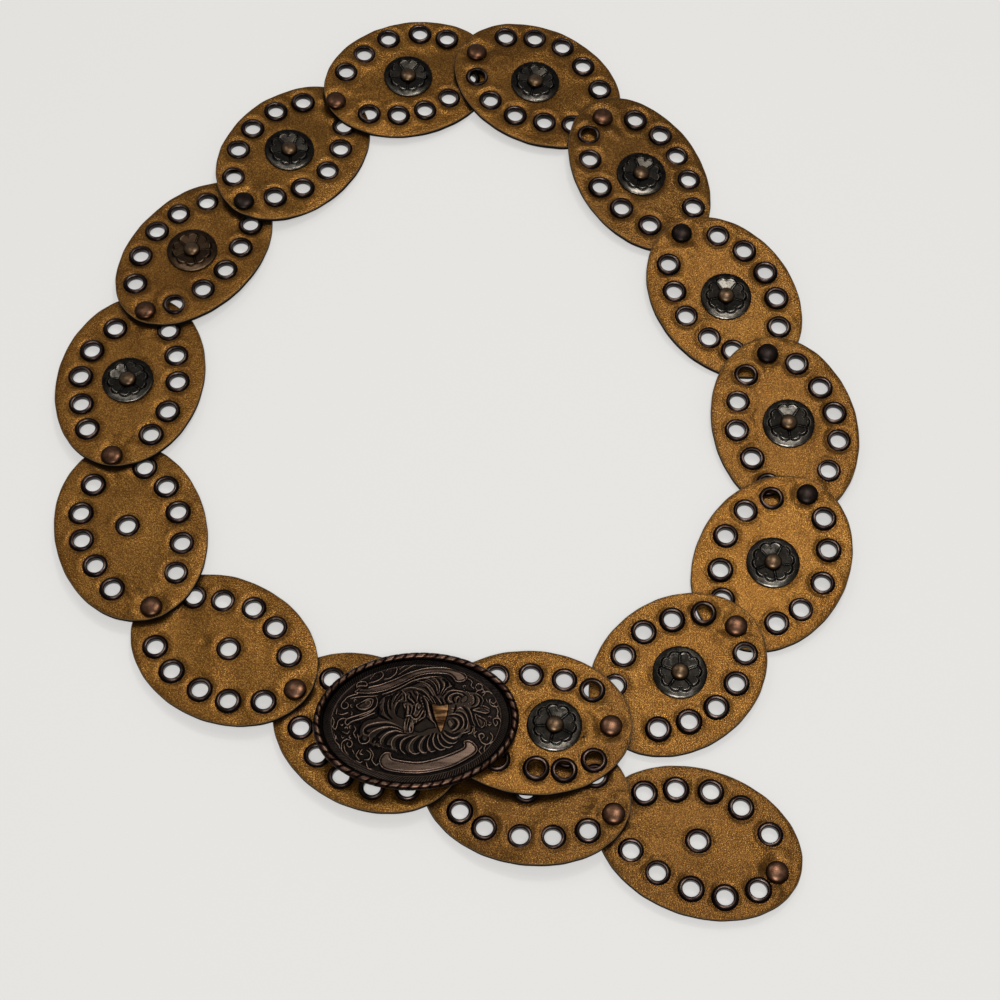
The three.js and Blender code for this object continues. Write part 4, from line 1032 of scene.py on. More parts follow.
    ("cut", 0.8, 0.2, 0.3, 0.5, [(2.2, 15.0), (4.4, 14.2), (6.0, 12.7), (6.9, 10.7), (8.1, 8.9), (9.3, 6.7)]),
    ("cut", 0.6, 0.2, 0.4, 0.5, [(7.6, 10.5), (9.0, 8.7), (10.4, 6.6)]),
    ("cut", 0.7, 0.2, 0.4, 0.5, [(10.8, 9.0), (11.4, 7.6), (12.1, 5.7)]),
    ("line", 0.5, 0.5, 0.4, 0.5, [(1.0, 13.7), (3.2, 13.2), (5.0, 11.4), (6.2, 9.5), (7.6, 7.1)]),
    ("line", 0.45, 0.5, 0.4, 0.5, [(3.6, 16.0), (5.5, 14.5), (6.8, 12.2), (7.8, 10.3)]),
    ("line", 0.45, 0.5, 0.4, 0.5, [(6.8, 10.3), (7.9, 8.4), (8.7, 6.8)]),
    ("line", 0.5, 0.5, 0.4, 0.5, [(8.9, 10.0), (10.0, 8.3), (11.2, 6.4)]),
    ("cut", 1.5, 0.18, 0.25, 0.5, [(9.6, 10.1), (8.3, 13.3), (5.8, 16.2), (2.9, 17.3)]),
    ("cut", 1.5, 0.18, 0.25, 0.5, [(9.9, 10.5), (9.6, 13.7), (7.8, 16.6), (5.1, 18.5)]),
    ("cut", 1.5, 0.18, 0.25, 0.5, [(10.5, 10.7), (11.2, 14.1), (10.5, 16.9), (8.7, 18.6)]),
    ("cut", 1.4, 0.18, 0.25, 0.5, [(11.2, 10.5), (13.4, 13.5), (13.9, 15.8), (12.3, 17.9)]),
    ("cut", 1.4, 0.18, 0.25, 0.5, [(11.5, 10.0), (13.8, 12.6), (16.4, 13.8), (16.9, 15.2)]),
    ("line", 0.5, 0.44, 0.3, 0.5, [(9.0, 10.1), (7.4, 13.8), (4.6, 16.5), (1.2, 17.6)]),
    ("line", 0.5, 0.44, 0.3, 0.5, [(9.8, 11.2), (9.2, 14.7), (7.2, 17.3), (4.2, 19.0)]),
    ("line", 0.5, 0.44, 0.3, 0.5, [(10.3, 11.4), (10.6, 15.0), (9.3, 17.8), (7.2, 19.1)]),
    ("line", 0.5, 0.44, 0.3, 0.5, [(10.9, 11.2), (12.7, 14.2), (12.6, 16.8)]),
    ("line", 0.5, 0.44, 0.3, 0.5, [(11.5, 10.4), (13.6, 13.3), (16.0, 14.5)]),
    ("cut", 1.0, 0.2, 0.3, 0.3, [(21.3, 10.2), (20.5, 11.0), (18.8, 11.6), (16.5, 11.6), (14.7, 10.9), (13.3, 9.4), (13.0, 8.0), (13.8, 6.7), (15.1, 6.4), (16.4, 6.4)]),
    ("line", 0.45, 0.44, 0.4, 0.4, [(13.1, 11.6), (14.6, 12.2), (15.9, 12.4), (18.2, 12.2), (20.1, 11.7), (21.5, 10.8)]),
    ("line", 0.5, 0.5, 0.5, 0.4, [(20.6, 9.8), (19.4, 10.6), (17.8, 11.0), (15.8, 10.5), (14.4, 9.4), (14.2, 8.3), (14.9, 7.3), (16.1, 6.9)]),
    ("cut", 0.9, 0.2, 0.4, 0.4, [(19.8, 9.1), (18.6, 10.1), (17.1, 10.0), (16.2, 8.9), (16.2, 7.6), (16.8, 6.5)]),
    ("line", 0.7, 0.5, 0.5, 0.4, [(18.9, 9.7), (18.0, 9.0), (17.5, 8.1), (17.5, 7.1)]),
    ("cut", 0.7, 0.2, 0.4, 0.4, [(18.6, 8.6), (18.0, 7.9), (17.8, 6.8)]),
    ("line", 0.5, 0.5, 1, 1, [(21.1, 12.4), (21.2, 12.4)]),
    ("line", 0.5, 0.5, 1, 1, [(22.8, 11.1), (22.9, 11.0)]),
    ("line", 0.5, 0.5, 1, 1, [(23.1, 10.4), (23.3, 10.4)]),
    ("line", 0.5, 0.5, 1, 1, [(22.0, 11.5), (22.1, 11.5)]),
    ("line", 0.5, 0.5, 1, 1, [(24.3, 8.2), (24.4, 8.2)]),
    ("line", 0.5, 0.5, 1, 1, [(24.3, 7.2), (24.4, 7.2)]),
    ("line", 0.5, 0.5, 1, 1, [(22.4, 5.9), (22.5, 5.8)]),
    ("line", 0.5, 0.5, 1, 1, [(20.8, 5.3), (21.0, 5.2)]),
    ("line", 0.5, 0.5, 1, 1, [(23.6, 9.5), (23.8, 9.5)]),
    ("line", 0.5, 0.5, 1, 1, [(23.3, 6.4), (23.4, 6.3)]),
    ("cut", 0.7, 0.2, 0.3, 0.3, [(24.9, 10.0), (25.5, 8.9), (25.5, 7.3), (25.2, 5.9), (24.0, 5.0)]),
    ("line", 0.4, 0.42, 0.3, 0.3, [(24.3, 9.7), (24.9, 8.2), (25.0, 6.8), (24.2, 5.6)]),
    ("line", 0.75, 0.5, 0.3, 0.3, [(26.0, 9.6), (26.8, 8.5), (27.1, 7.1), (26.5, 5.5), (25.1, 4.4)]),
    ("cut", 0.75, 0.2, 0.3, 0.3, [(25.4, 10.2), (27.0, 9.3), (28.1, 7.5), (27.7, 5.8), (26.4, 4.4), (24.3, 3.9)]),
    ("line", 0.5, 0.46, 0.3, 0.3, [(25.5, 10.8), (27.2, 9.9), (28.5, 8.4), (28.8, 6.8), (27.9, 5.0)]),
    ("cut", 0.7, 0.2, 0.3, 0.4, [(27.3, 4.1), (29.4, 3.9), (31.3, 2.8), (31.8, 1.9)]),
    ("cut", 0.7, 0.2, 0.3, 0.4, [(25.2, 1.9), (26.6, 0.8), (28.7, 0.5), (30.7, 1.1), (31.7, 1.9)]),
    ("line", 0.45, 0.5, 0.3, 0.4, [(27.7, 4.9), (29.7, 4.5), (31.5, 3.2)]),
    ("cut", 0.75, 0.2, 0.4, 0.3, [(24.0, 2.5), (24.1, 0.3), (24.8, -2.3), (26.0, -4.2), (27.7, -5.2)]),
    ("cut", 0.75, 0.2, 0.3, 0.3, [(25.4, 0.9), (26.7, -0.5), (28.3, -1.2), (29.3, -2.4), (29.2, -4.3), (27.7, -5.3)]),
    ("line", 0.45, 0.46, 0.3, 0.3, [(25.9, 0.4), (27.3, -0.4), (28.8, -1.0), (29.7, -2.4), (29.5, -4.7)]),
    ("cut", 0.8, 0.2, 0.3, 0.3, [(15.2, -0.4), (16.4, -1.5), (16.7, -3.1), (15.8, -4.6), (14.2, -5.1)]),
    ("line", 1.0, 0.5, 0.3, 0.3, [(15.4, 0.1), (17.1, -0.8), (18.0, -2.5), (17.6, -4.0), (16.2, -5.4), (14.6, -6.1)]),
    ("cut", 1.0, 0.2, 0.3, 0.3, [(13.6, 0.6), (16.0, 0.9), (18.1, 0.1), (19.2, -1.7), (19.0, -3.8), (17.6, -5.7), (15.2, -6.6)]),
    ("line", 0.5, 0.5, 0.3, 0.4, [(13.8, 1.3), (16.0, 1.6), (18.0, 1.1), (19.6, -0.2), (20.1, -2.1), (19.9, -3.9), (18.6, -5.4), (17.3, -6.1)]),
    ("cut", 1.1, 0.2, 0.4, 0.4, [(17.3, 2.4), (19.0, 2.1), (20.4, 1.0), (21.2, -0.8), (21.2, -2.8), (20.4, -5.1)]),
    ("line", 0.5, 0.48, 0.4, 0.4, [(17.2, 3.0), (19.0, 2.8), (20.7, 1.6), (21.7, -0.4), (21.9, -2.9), (21.3, -5.1), (19.9, -6.4)]),
    ("line", 0.9, 0.46, 0.5, 0.3, [(17.8, 3.7), (18.9, 4.5), (20.1, 3.6)]),
    ("cut", 1.0, 0.2, 0.3, 0.4, [(20.0, 4.7), (21.3, 3.2), (22.4, 1.2), (22.8, -0.9), (22.9, -3.4)]),
    ("line", 0.5, 0.42, 0.4, 0.4, [(22.0, 4.6), (23.1, 2.6), (23.7, 0.5), (24.0, -1.8), (24.9, -4.1)]),
    ("cut", 0.7, 0.2, 0.4, 0.4, [(17.3, 5.6), (17.0, 4.0), (16.1, 2.2)]),
    ("line", 0.4, 0.4, 0.6, 0.6, [(15.3, 4.2), (16.1, 3.9)]),
    ("line", 0.4, 0.4, 0.6, 0.6, [(15.1, 3.0), (16.1, 2.9)]),
    ("cut", 0.9, 0.2, 0.3, 0.3, [(23.9, -4.6), (23.6, -6.2), (22.3, -7.6)]),
    ("line", 0.5, 0.44, 0.3, 0.3, [(23.2, -4.0), (24.5, -4.8), (24.3, -6.7), (23.3, -7.9)]),
    ("line", 0.5, 0.44, 0.3, 0.3, [(22.8, -5.3), (22.0, -6.5), (19.8, -7.1), (18.5, -7.5)]),
    ("line", 0.5, 0.4, 0.6, 0.4, [(28.2, -7.9), (27.1, -7.5), (26.1, -8.3), (26.4, -9.7), (27.5, -10.4)]),
    ("cut", 1.4, 0.2, 0.22, 0.55, [(-5.8, -4.6), (-8.5, -2.9), (-12.7, -1.7), (-16.9, -1.8), (-20.3, -2.7), (-21.7, -4.1), (-20.4, -4.9), (-18.3, -4.4)]),
    ("cut", 1.4, 0.2, 0.22, 0.55, [(-5.4, -5.5), (-8.5, -3.9), (-11.9, -3.8), (-14.9, -5.2), (-17.1, -7.1), (-18.6, -9.0)]),
    ("cut", 1.7, 0.2, 0.22, 0.55, [(-5.0, -6.3), (-8.2, -5.6), (-11.2, -6.8), (-13.1, -8.9), (-13.2, -10.9), (-10.9, -11.5)]),
    ("cut", 1.7, 0.2, 0.22, 0.55, [(-3.6, -7.2), (-6.4, -7.9), (-8.1, -9.8), (-7.9, -12.7), (-6.2, -14.8)]),
    ("cut", 1.7, 0.2, 0.22, 0.55, [(-0.2, -7.4), (-3.0, -8.5), (-5.2, -10.7), (-5.7, -13.3), (-3.9, -15.1), (-2.0, -14.6)]),
    ("cut", 1.7, 0.2, 0.22, 0.55, [(2.7, -7.5), (0.5, -9.4), (-0.8, -12.0), (-0.1, -14.5), (2.4, -15.6), (4.7, -15.0)]),
    ("cut", 1.7, 0.2, 0.22, 0.55, [(5.5, -7.2), (3.9, -9.8), (3.1, -12.9), (4.1, -14.9), (5.8, -14.4)]),
    ("cut", 1.7, 0.2, 0.22, 0.55, [(7.2, -6.4), (5.8, -9.0), (5.9, -11.9), (7.7, -14.1), (10.0, -13.9)]),
    ("cut", 1.7, 0.2, 0.22, 0.55, [(8.4, -6.7), (8.1, -9.6), (9.2, -12.5), (11.7, -13.8), (14.0, -13.5)]),
    ("cut", 1.7, 0.2, 0.22, 0.55, [(9.7, -7.2), (10.2, -9.7), (12.2, -11.8), (14.7, -12.4), (16.4, -11.6)]),
    ("cut", 1.4, 0.2, 0.22, 0.55, [(10.8, -6.6), (11.9, -8.5), (14.4, -10.2), (16.9, -10.3), (18.0, -9.2)]),
    ("cut", 1.4, 0.2, 0.22, 0.55, [(11.7, -5.5), (13.5, -7.0), (15.8, -7.8), (18.1, -7.0)]),
    ("line", 0.55, 0.48, 0.3, 0.6, [(-5.6, -5.0), (-8.5, -3.3), (-12.3, -2.6), (-16.0, -3.3), (-18.9, -4.7), (-20.3, -6.3)]),
    ("line", 0.55, 0.48, 0.3, 0.6, [(-5.3, -5.9), (-8.4, -4.6), (-11.6, -5.1), (-14.1, -6.9), (-15.3, -8.8), (-15.1, -10.1)]),
    ("line", 0.55, 0.48, 0.3, 0.6, [(-4.4, -6.7), (-7.4, -6.6), (-9.8, -8.1), (-10.8, -10.6), (-10.1, -12.7)]),
    ("line", 0.55, 0.48, 0.3, 0.6, [(-2.1, -7.3), (-4.9, -8.2), (-6.8, -10.2), (-6.9, -13.0), (-5.2, -14.9)]),
    ("line", 0.55, 0.48, 0.3, 0.6, [(1.1, -7.4), (-1.4, -8.9), (-3.2, -11.3), (-3.2, -13.8), (-1.1, -15.3), (1.0, -14.8)]),
    ("line", 0.55, 0.48, 0.3, 0.6, [(4.0, -7.4), (2.0, -9.6), (0.9, -12.4), (1.8, -14.7), (3.9, -15.0)]),
    ("line", 0.55, 0.48, 0.3, 0.6, [(6.2, -6.9), (4.8, -9.5), (4.4, -12.4), (5.7, -14.6), (7.7, -14.2)]),
    ("line", 0.55, 0.48, 0.3, 0.6, [(7.8, -6.6), (6.8, -9.3), (7.4, -12.2), (9.5, -14.0), (11.8, -13.7)]),
    ("line", 0.55, 0.48, 0.3, 0.6, [(9.0, -6.9), (9.1, -9.6), (10.6, -12.2), (13.1, -13.2), (15.1, -12.6)]),
    ("line", 0.55, 0.48, 0.3, 0.6, [(10.2, -6.9), (11.0, -9.1), (13.2, -11.1), (15.7, -11.4), (17.2, -10.5)]),
    ("line", 0.55, 0.48, 0.3, 0.6, [(11.2, -6.1), (12.6, -7.8), (15.0, -9.1), (17.5, -8.8)]),
    ("line", 0.5, 0.44, 0.4, 0.5, [(-6.0, -3.5), (-8.9, -1.8), (-12.6, -0.5), (-16.9, -0.6), (-20.3, -1.4), (-22.3, -3.3), (-22.1, -5.4), (-20.4, -5.9)]),
    ("cut", 1.1, 0.16, 0.4, 0.4, [(-22.7, -5.9), (-23.4, -7.2), (-22.6, -8.6), (-20.9, -8.2), (-20.4, -6.7)]),
    ("line", 0.5, 0.42, 0.4, 0.4, [(-23.8, -5.6), (-24.5, -7.4), (-23.5, -9.2), (-21.1, -9.3), (-19.8, -7.9), (-19.9, -6.3)]),
    ("cut", 1.2, 0.16, 0.4, 0.3, [(-18.8, -8.8), (-17.7, -7.5), (-16.5, -8.0), (-17.2, -9.6)]),
    ("cut", 1.2, 0.16, 0.4, 0.3, [(-18.0, -10.6), (-16.6, -11.8), (-14.7, -11.6)]),
    ("line", 0.6, 0.36, 0.8, 0.7, [(-35.3, 3.3), (-34.5, 1.0), (-35.2, -1.0), (-34.2, -2.2), (-33.4, -0.7), (-32.8, 1.3), (-31.1, 2.4), (-29.7, 2.3)]),
    ("line", 0.6, 0.36, 0.8, 0.7, [(-29.3, -6.9), (-31.3, -8.1), (-31.8, -10.8), (-30.9, -13.5), (-29.0, -15.3)]),
    ("line", 0.6, 0.36, 0.8, 0.7, [(-29.3, -6.9), (-27.6, -7.9), (-27.2, -9.7), (-28.5, -10.5), (-29.5, -9.4), (-29.0, -8.7)]),
    ("line", 0.6, 0.36, 0.8, 0.7, [(-26.2, -1.3), (-25.5, -2.9), (-26.5, -4.6), (-25.5, -6.7)]),
    ("line", 0.6, 0.36, 0.8, 0.7, [(-33.9, -5.1), (-34.4, -7.3), (-33.0, -9.1), (-32.3, -11.4)]),
    ("line", 0.6, 0.36, 0.8, 0.7, [(-24.4, -12.1), (-25.7, -14.4), (-24.5, -16.3)]),
    ("line", 0.6, 0.36, 0.8, 0.7, [(-23.1, -11.9), (-24.1, -13.6), (-22.8, -14.2)]),
    ("line", 0.6, 0.36, 0.8, 0.7, [(-21.2, -12.4), (-19.6, -13.9), (-20.2, -16.3), (-22.4, -16.5)]),
    ("line", 0.6, 0.36, 0.8, 0.7, [(-20.0, -11.6), (-18.5, -14.4), (-19.1, -17.0), (-17.5, -19.1), (-16.5, -18.5)]),
    ("line", 0.6, 0.36, 0.8, 0.7, [(-21.6, -17.7), (-20.9, -20.2), (-19.4, -20.7)]),
    ("line", 0.6, 0.36, 0.8, 0.7, [(-25.8, -16.6), (-24.1, -17.6), (-23.3, -17.2)]),
    ("line", 0.6, 0.36, 0.8, 0.7, [(-30.4, -15.5), (-28.3, -17.4), (-26.3, -19.7), (-24.2, -20.7)]),
    ("line", 0.6, 0.36, 0.8, 0.7, [(26.2, 14.1), (27.2, 15.1), (28.8, 14.1), (28.4, 12.3), (26.6, 12.1), (25.8, 13.6)]),
    ("line", 0.6, 0.36, 0.8, 0.7, [(23.0, 17.6), (24.6, 16.1), (24.1, 14.2), (25.3, 12.9)]),
    ("line", 0.6, 0.36, 0.8, 0.7, [(28.8, 12.7), (29.9, 10.8), (28.9, 9.5)]),
    ("line", 0.6, 0.36, 0.8, 0.7, [(28.6, 10.9), (31.2, 11.3), (33.7, 9.6), (34.4, 6.9), (33.1, 5.7), (31.8, 6.9), (32.3, 8.0)]),
    ("line", 0.6, 0.36, 0.8, 0.7, [(31.5, 7.8), (31.8, 5.3), (34.1, 4.2), (36.1, 5.2)]),
    ("line", 0.6, 0.36, 0.8, 0.7, [(24.4, 20.6), (26.5, 19.1), (28.9, 17.7), (30.5, 15.8)]),
    ("line", 0.6, 0.36, 0.8, 0.7, [(30.5, 15.8), (32.6, 14.8), (34.2, 12.4)]),
    ("line", 0.6, 0.36, 0.8, 0.7, [(32.6, -2.6), (32.9, -1.2), (35.1, -1.1), (36.1, -3.5), (35.3, -7.0), (33.4, -10.1), (30.8, -12.2)]),
    ("line", 0.6, 0.36, 0.8, 0.7, [(32.6, -2.6), (33.5, -4.3), (34.5, -3.2), (33.9, -2.1)]),
    ("line", 0.6, 0.36, 0.8, 0.7, [(26.4, -8.3), (27.0, -11.1), (29.1, -12.4), (31.0, -11.5), (32.0, -9.1), (31.0, -7.2)]),
    ("line", 0.6, 0.36, 0.8, 0.7, [(26.4, -8.3), (27.7, -7.5), (28.5, -8.9), (27.5, -9.7)]),
    ("line", 0.6, 0.36, 0.8, 0.7, [(29.0, -12.5), (28.1, -14.7), (29.7, -16.1), (31.0, -14.4)]),
    ("line", 0.6, 0.36, 0.8, 0.7, [(33.4, 5.2), (34.9, 2.4), (34.3, -0.3)]),
    ("line", 0.6, 0.36, 0.8, 0.7, [(25.0, -9.2), (24.2, -7.8), (25.5, -6.5)]),
    ("line", 0.6, 0.36, 0.8, 0.7, [(27.3, -13.3), (26.0, -15.0), (27.1, -16.8)]),
    ("line", 0.6, 0.36, 0.8, 0.7, [(21.7, -7.6), (23.4, -6.8), (24.0, -5.1)]),
    ("line", 0.6, 0.36, 0.8, 0.7, [(35.8, 3.3), (36.7, 0.5), (36.4, -2.2)]),
    ("line", 0.5, 0.32, 0.7, 0.4, [(-30.7, -9.3), (-30.3, -12.0), (-29.0, -13.8)]),
    ("line", 0.5, 0.32, 0.7, 0.4, [(-24.8, -5.1), (-24.3, -7.8)]),
    ("line", 0.5, 0.32, 0.7, 0.4, [(-34.9, -4.1), (-33.5, -6.5)]),
    ("line", 0.5, 0.32, 0.7, 0.4, [(-31.3, -3.4), (-29.2, -4.5), (-27.9, -3.2)]),
    ("line", 0.5, 0.32, 0.7, 0.4, [(-27.3, -11.7), (-26.5, -13.5)]),
    ("line", 0.5, 0.32, 0.7, 0.4, [(30.1, 8.1), (30.9, 6.2)]),
    ("line", 0.5, 0.32, 0.7, 0.4, [(34.4, 1.5), (35.1, -1.2)]),
    ("line", 0.5, 0.32, 0.7, 0.4, [(30.1, -9.0), (29.5, -10.7)]),
    ("line", 0.5, 0.32, 0.7, 0.4, [(26.0, 11.0), (26.9, 11.9)]),
    ("line", 0.5, 0.32, 0.7, 0.4, [(-28.5, 4.9), (-31.1, 4.2), (-32.8, 4.7)]),
    ("line", 0.5, 0.32, 0.7, 0.4, [(-33.1, 7.0), (-33.6, 4.7)]),
]


def build_buckle():
    step = 0.22
    m = Relief(step)
    rn = np.hypot(m.U / BA, m.V / BB)
    ang = np.arctan2(m.V / BB, m.U / BA)
    for row in FACE_SHAPES:
        m.shape(*row)
    # short radial ticks round the plume, under the banner and beside the leaf
    for (cu, cv, ru, rv, a0, a1, n) in TICKS:
        for t in np.linspace(math.radians(a0), math.radians(a1), n):
            e = (math.cos(t), math.sin(t))
            m.stroke("cut", 0.42, 0.10, 0.8, 0.8, [(cu + ru * e[0], cv + rv * e[1]), (cu + (ru + 1.7) * e[0], cv + (rv + 1.7) * e[1])])
    for row in FACE_LINES:
        m.stroke(*row)
    # small scrolls that fill the bare ground
    rg = random.Random(19)
    placed = []
    for _ in range(5200):
        q, t = math.sqrt(rg.random()) * 0.785, rg.uniform(0, 2 * math.pi)
        cu, cv = q * BA * math.cos(t), q * BB * math.sin(t)
        rr = rg.choice((0.75, 0.95, 1.2, 1.5))
        w = m.window(cu - rr * 1.12, cu + rr * 1.12, cv - rr * 1.12, cv + rr * 1.12)
        if m.made[w].max() > 0.5:
            continue
        a0, hand = rg.uniform(0, 2 * math.pi), rg.choice((-1, 1))
        pts = [(cu + rr * (1 - 0.085 * k) * math.cos(a0 + hand * 0.66 * k), cv + rr * (1 - 0.085 * k) * math.sin(a0 + hand * 0.66 * k)) for k in range(9 if rr > 0.9 else 6)]
        m.stroke("line", 0.46, 0.32, 0.75, 0.5, pts)
        placed.append((cu, cv))
    # stippled ground
    nz = np.sin(m.U * 6.3 + 1.5 * np.sin(m.V * 4.1)) * np.sin(m.V * 6.6 + 1.4 * np.sin(m.U * 5.2))
    ground = m.made < 0.5
    h = np.where(ground, -0.06 + 0.055 * nz, m.h)
    w = np.where(ground, 0.10 + 0.14 * smooth(nz, 0.2, 0.9), m.w)
    w = np.clip(w + 1.15 * (h - blur(h, 3)) * (w > 0.02), 0, 1)
    inside = 1 - smooth(rn, 0.815, 0.83)
    # ring of milled ticks, then a plain sunk band under the rope
    zone = smooth(rn, 0.828, 0.838) * (1 - smooth(rn, 0.898, 0.908))
    ticks = 0.5 + 0.5 * np.cos(ang * 204 + 5.0 * (rn - 0.86) * 30)
    line = np.exp(-((rn - 0.822) / 0.0055) ** 2)
    base = 18.0 - 1.15 * np.clip(rn / 0.83, 0, 1) ** 2.2 - 0.30 * smooth(rn, 0.895, 0.925)
    z = base - 0.62 + h * 1.15 * inside + zone * 0.26 * ticks + 0.16 * line
    # painted shade on the top of the tick ring and a painted highlight towards its bottom
    w = w * inside + (0.34 - 0.20 * np.sin(ang)) * zone * smooth(ticks, 0.45, 0.9) + 0.50 * line
    band = smooth(rn, 0.905, 0.915)
    w = w * (1 - band) + 0.10 * band
    keep = rn < 0.955
    cell = keep[:-1, :-1] & keep[1:, :-1] & keep[:-1, 1:] & keep[1:, 1:]
    used = np.zeros(keep.shape, bool)
    for di in (0, 1):
        for dj in (0, 1):
            used[di:used.shape[0] - 1 + di, dj:used.shape[1] - 1 + dj] |= cell
    idx = -np.ones(keep.shape, int)
    idx[used] = np.arange(used.sum())
    I, J = np.nonzero(cell)
    faces = np.stack([idx[I, J], idx[I + 1, J], idx[I + 1, J + 1], idx[I, J + 1]], 1)
    x, y = to_world(BF, m.U[used], m.V[used])
    fm = np.rint(m.patch[:-1, :-1][I, J]).astype(int)
    ob = make("buckle_face", np.stack([x, y, z[used]], 1), faces, [M_BUCKLE, M_PATCH, M_BAND], fm, {"worn": np.clip(w[used], 0, 1)})
    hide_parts("buckle")
    # rope border
    n, q = 1020, 18
    t = np.arange(n) * 2 * math.pi / n
    ce = 0.9600
    cx, cy = ce * BA * np.cos(t), ce * BB * np.sin(t)
    dx, dy = -ce * BA * np.sin(t), ce * BB * np.cos(t)
    seg = np.hypot(np.diff(np.append(cx, cx[0])), np.diff(np.append(cy, cy[0])))
    s = np.concatenate([[0], np.cumsum(seg)[:-1]]) / seg.sum()
    ln = np.hypot(dx, dy)
    nx, ny = dy / ln, -dx / ln
    th = np.arange(q) * 2 * math.pi / q
    S, TH = np.meshgrid(s, th, indexing="ij")
    turn = (-2 * TH / (2 * math.pi) + 51 * S) % 1.0
    lump = (1 - np.abs(2 * turn - 1) ** 6) ** 0.5
    r = 1.66 * (0.78 + 0.23 * lump)
    X = cx[:, None] + nx[:, None] * r * np.cos(TH)
    Y = cy[:, None] + ny[:, None] * r * np.cos(TH)
    Z = 15.95 + r * np.sin(TH) * 1.02
    wx, wy = to_world(BF, X, Y)
    V = np.stack([wx.ravel(), wy.ravel(), Z.ravel()], 1)
    k = np.arange(n)[:, None]
    j = np.arange(q)[None, :]
    k2, j2 = (k + 1) % n, (j + 1) % q
    F = np.stack(np.broadcast_arrays(k * q + j, k2 * q + j, k2 * q + j2, k * q + j2), -1).reshape(-1, 4)
    shade = 0.5 + 0.5 * np.sin(np.floor(51 * S - TH / math.pi) * 2.4)
    # each strand's crest is bright as wear, and brighter again on its upper face as a painted highlight
    rope_wear_and_highlight = (smooth(lump, 0.80, 1.0) * (0.12 + (0.30 + 0.09 * shade) * smooth(np.sin(TH), 0.45, 0.98))).ravel()
    ob = make("buckle_rope", V, F, [M_ROPE], None, {"worn": rope_wear_and_highlight})
    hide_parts("buckle")
    # plain stamped back with rolled edge
    prof = [(0.0, 15.4), (0.25, 15.33), (0.55, 15.15), (0.80, 14.70), (0.90, 14.42), (0.955, 14.16), (0.985, 14.2), (0.998, 14.5), (1.0, 14.9), (0.995, 15.3), (0.97, 15.6), (0.93, 15.8), (0.90, 15.8), (0.6, 16.1), (0.0, 16.3)]
    steps = 144
    m2 = Mesh()
    verts, faces = lathe([(p[0] * BA, p[1]) for p in prof], steps)
    verts[:, 1] *= BB / BA
    rad = np.hypot(verts[:, 0] / BA, verts[:, 1] / BB)
    x, y = to_world(BF, verts[:, 0], verts[:, 1])
    m2.add(np.stack([x, y, verts[:, 2]], 1), faces, 0, worn=0.22 + 0.35 * smooth(rad, 0.93, 0.99))
    ob = m2.done("buckle_backplate", [M_BACKPLATE])
    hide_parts("buckle")
    build_fixings()


# middle along and across, half sizes, first and last angle, how many
TICKS = [
    (2.0, -3.2, 19.2, 12.3, 196, 348, 74),
    (-17.0, 0.4, 6.2, 3.0, 70, 190, 26),
]


def rounded_box(x0, x1, y0, y1, z0, z1, r, seg=3):
    """Points and faces of a box with rounded upright corners and a small top and bottom chamfer."""
    def ring(ins, z):
        out = []
        for cx, cy, a0 in ((x1 - r, y1 - r, 0), (x0 + r, y1 - r, 90), (x0 + r, y0 + r, 180), (x1 - r, y0 + r, 270)):
            for k in range(seg + 1):
                a = math.radians(a0 + 90 * k / seg)
                out.append((cx + (r - ins) * math.cos(a), cy + (r - ins) * math.sin(a), z))
        return out
    c = min(0.22, (z1 - z0) * 0.25)
    rings = [ring(c, z0), ring(0, z0 + c), ring(0, z1 - c), ring(c, z1)]
    n = len(rings[0])
    V = [p for rr in rings for p in rr]
    F = []
    for a in range(3):
        for k in range(n):
            j = (k + 1) % n
            F.append((a * n + k, a * n + j, (a + 1) * n + j, (a + 1) * n + k))
    F.append(tuple(reversed(range(n))))
    F.append(tuple(3 * n + k for k in range(n)))
    return np.array(V, float), F


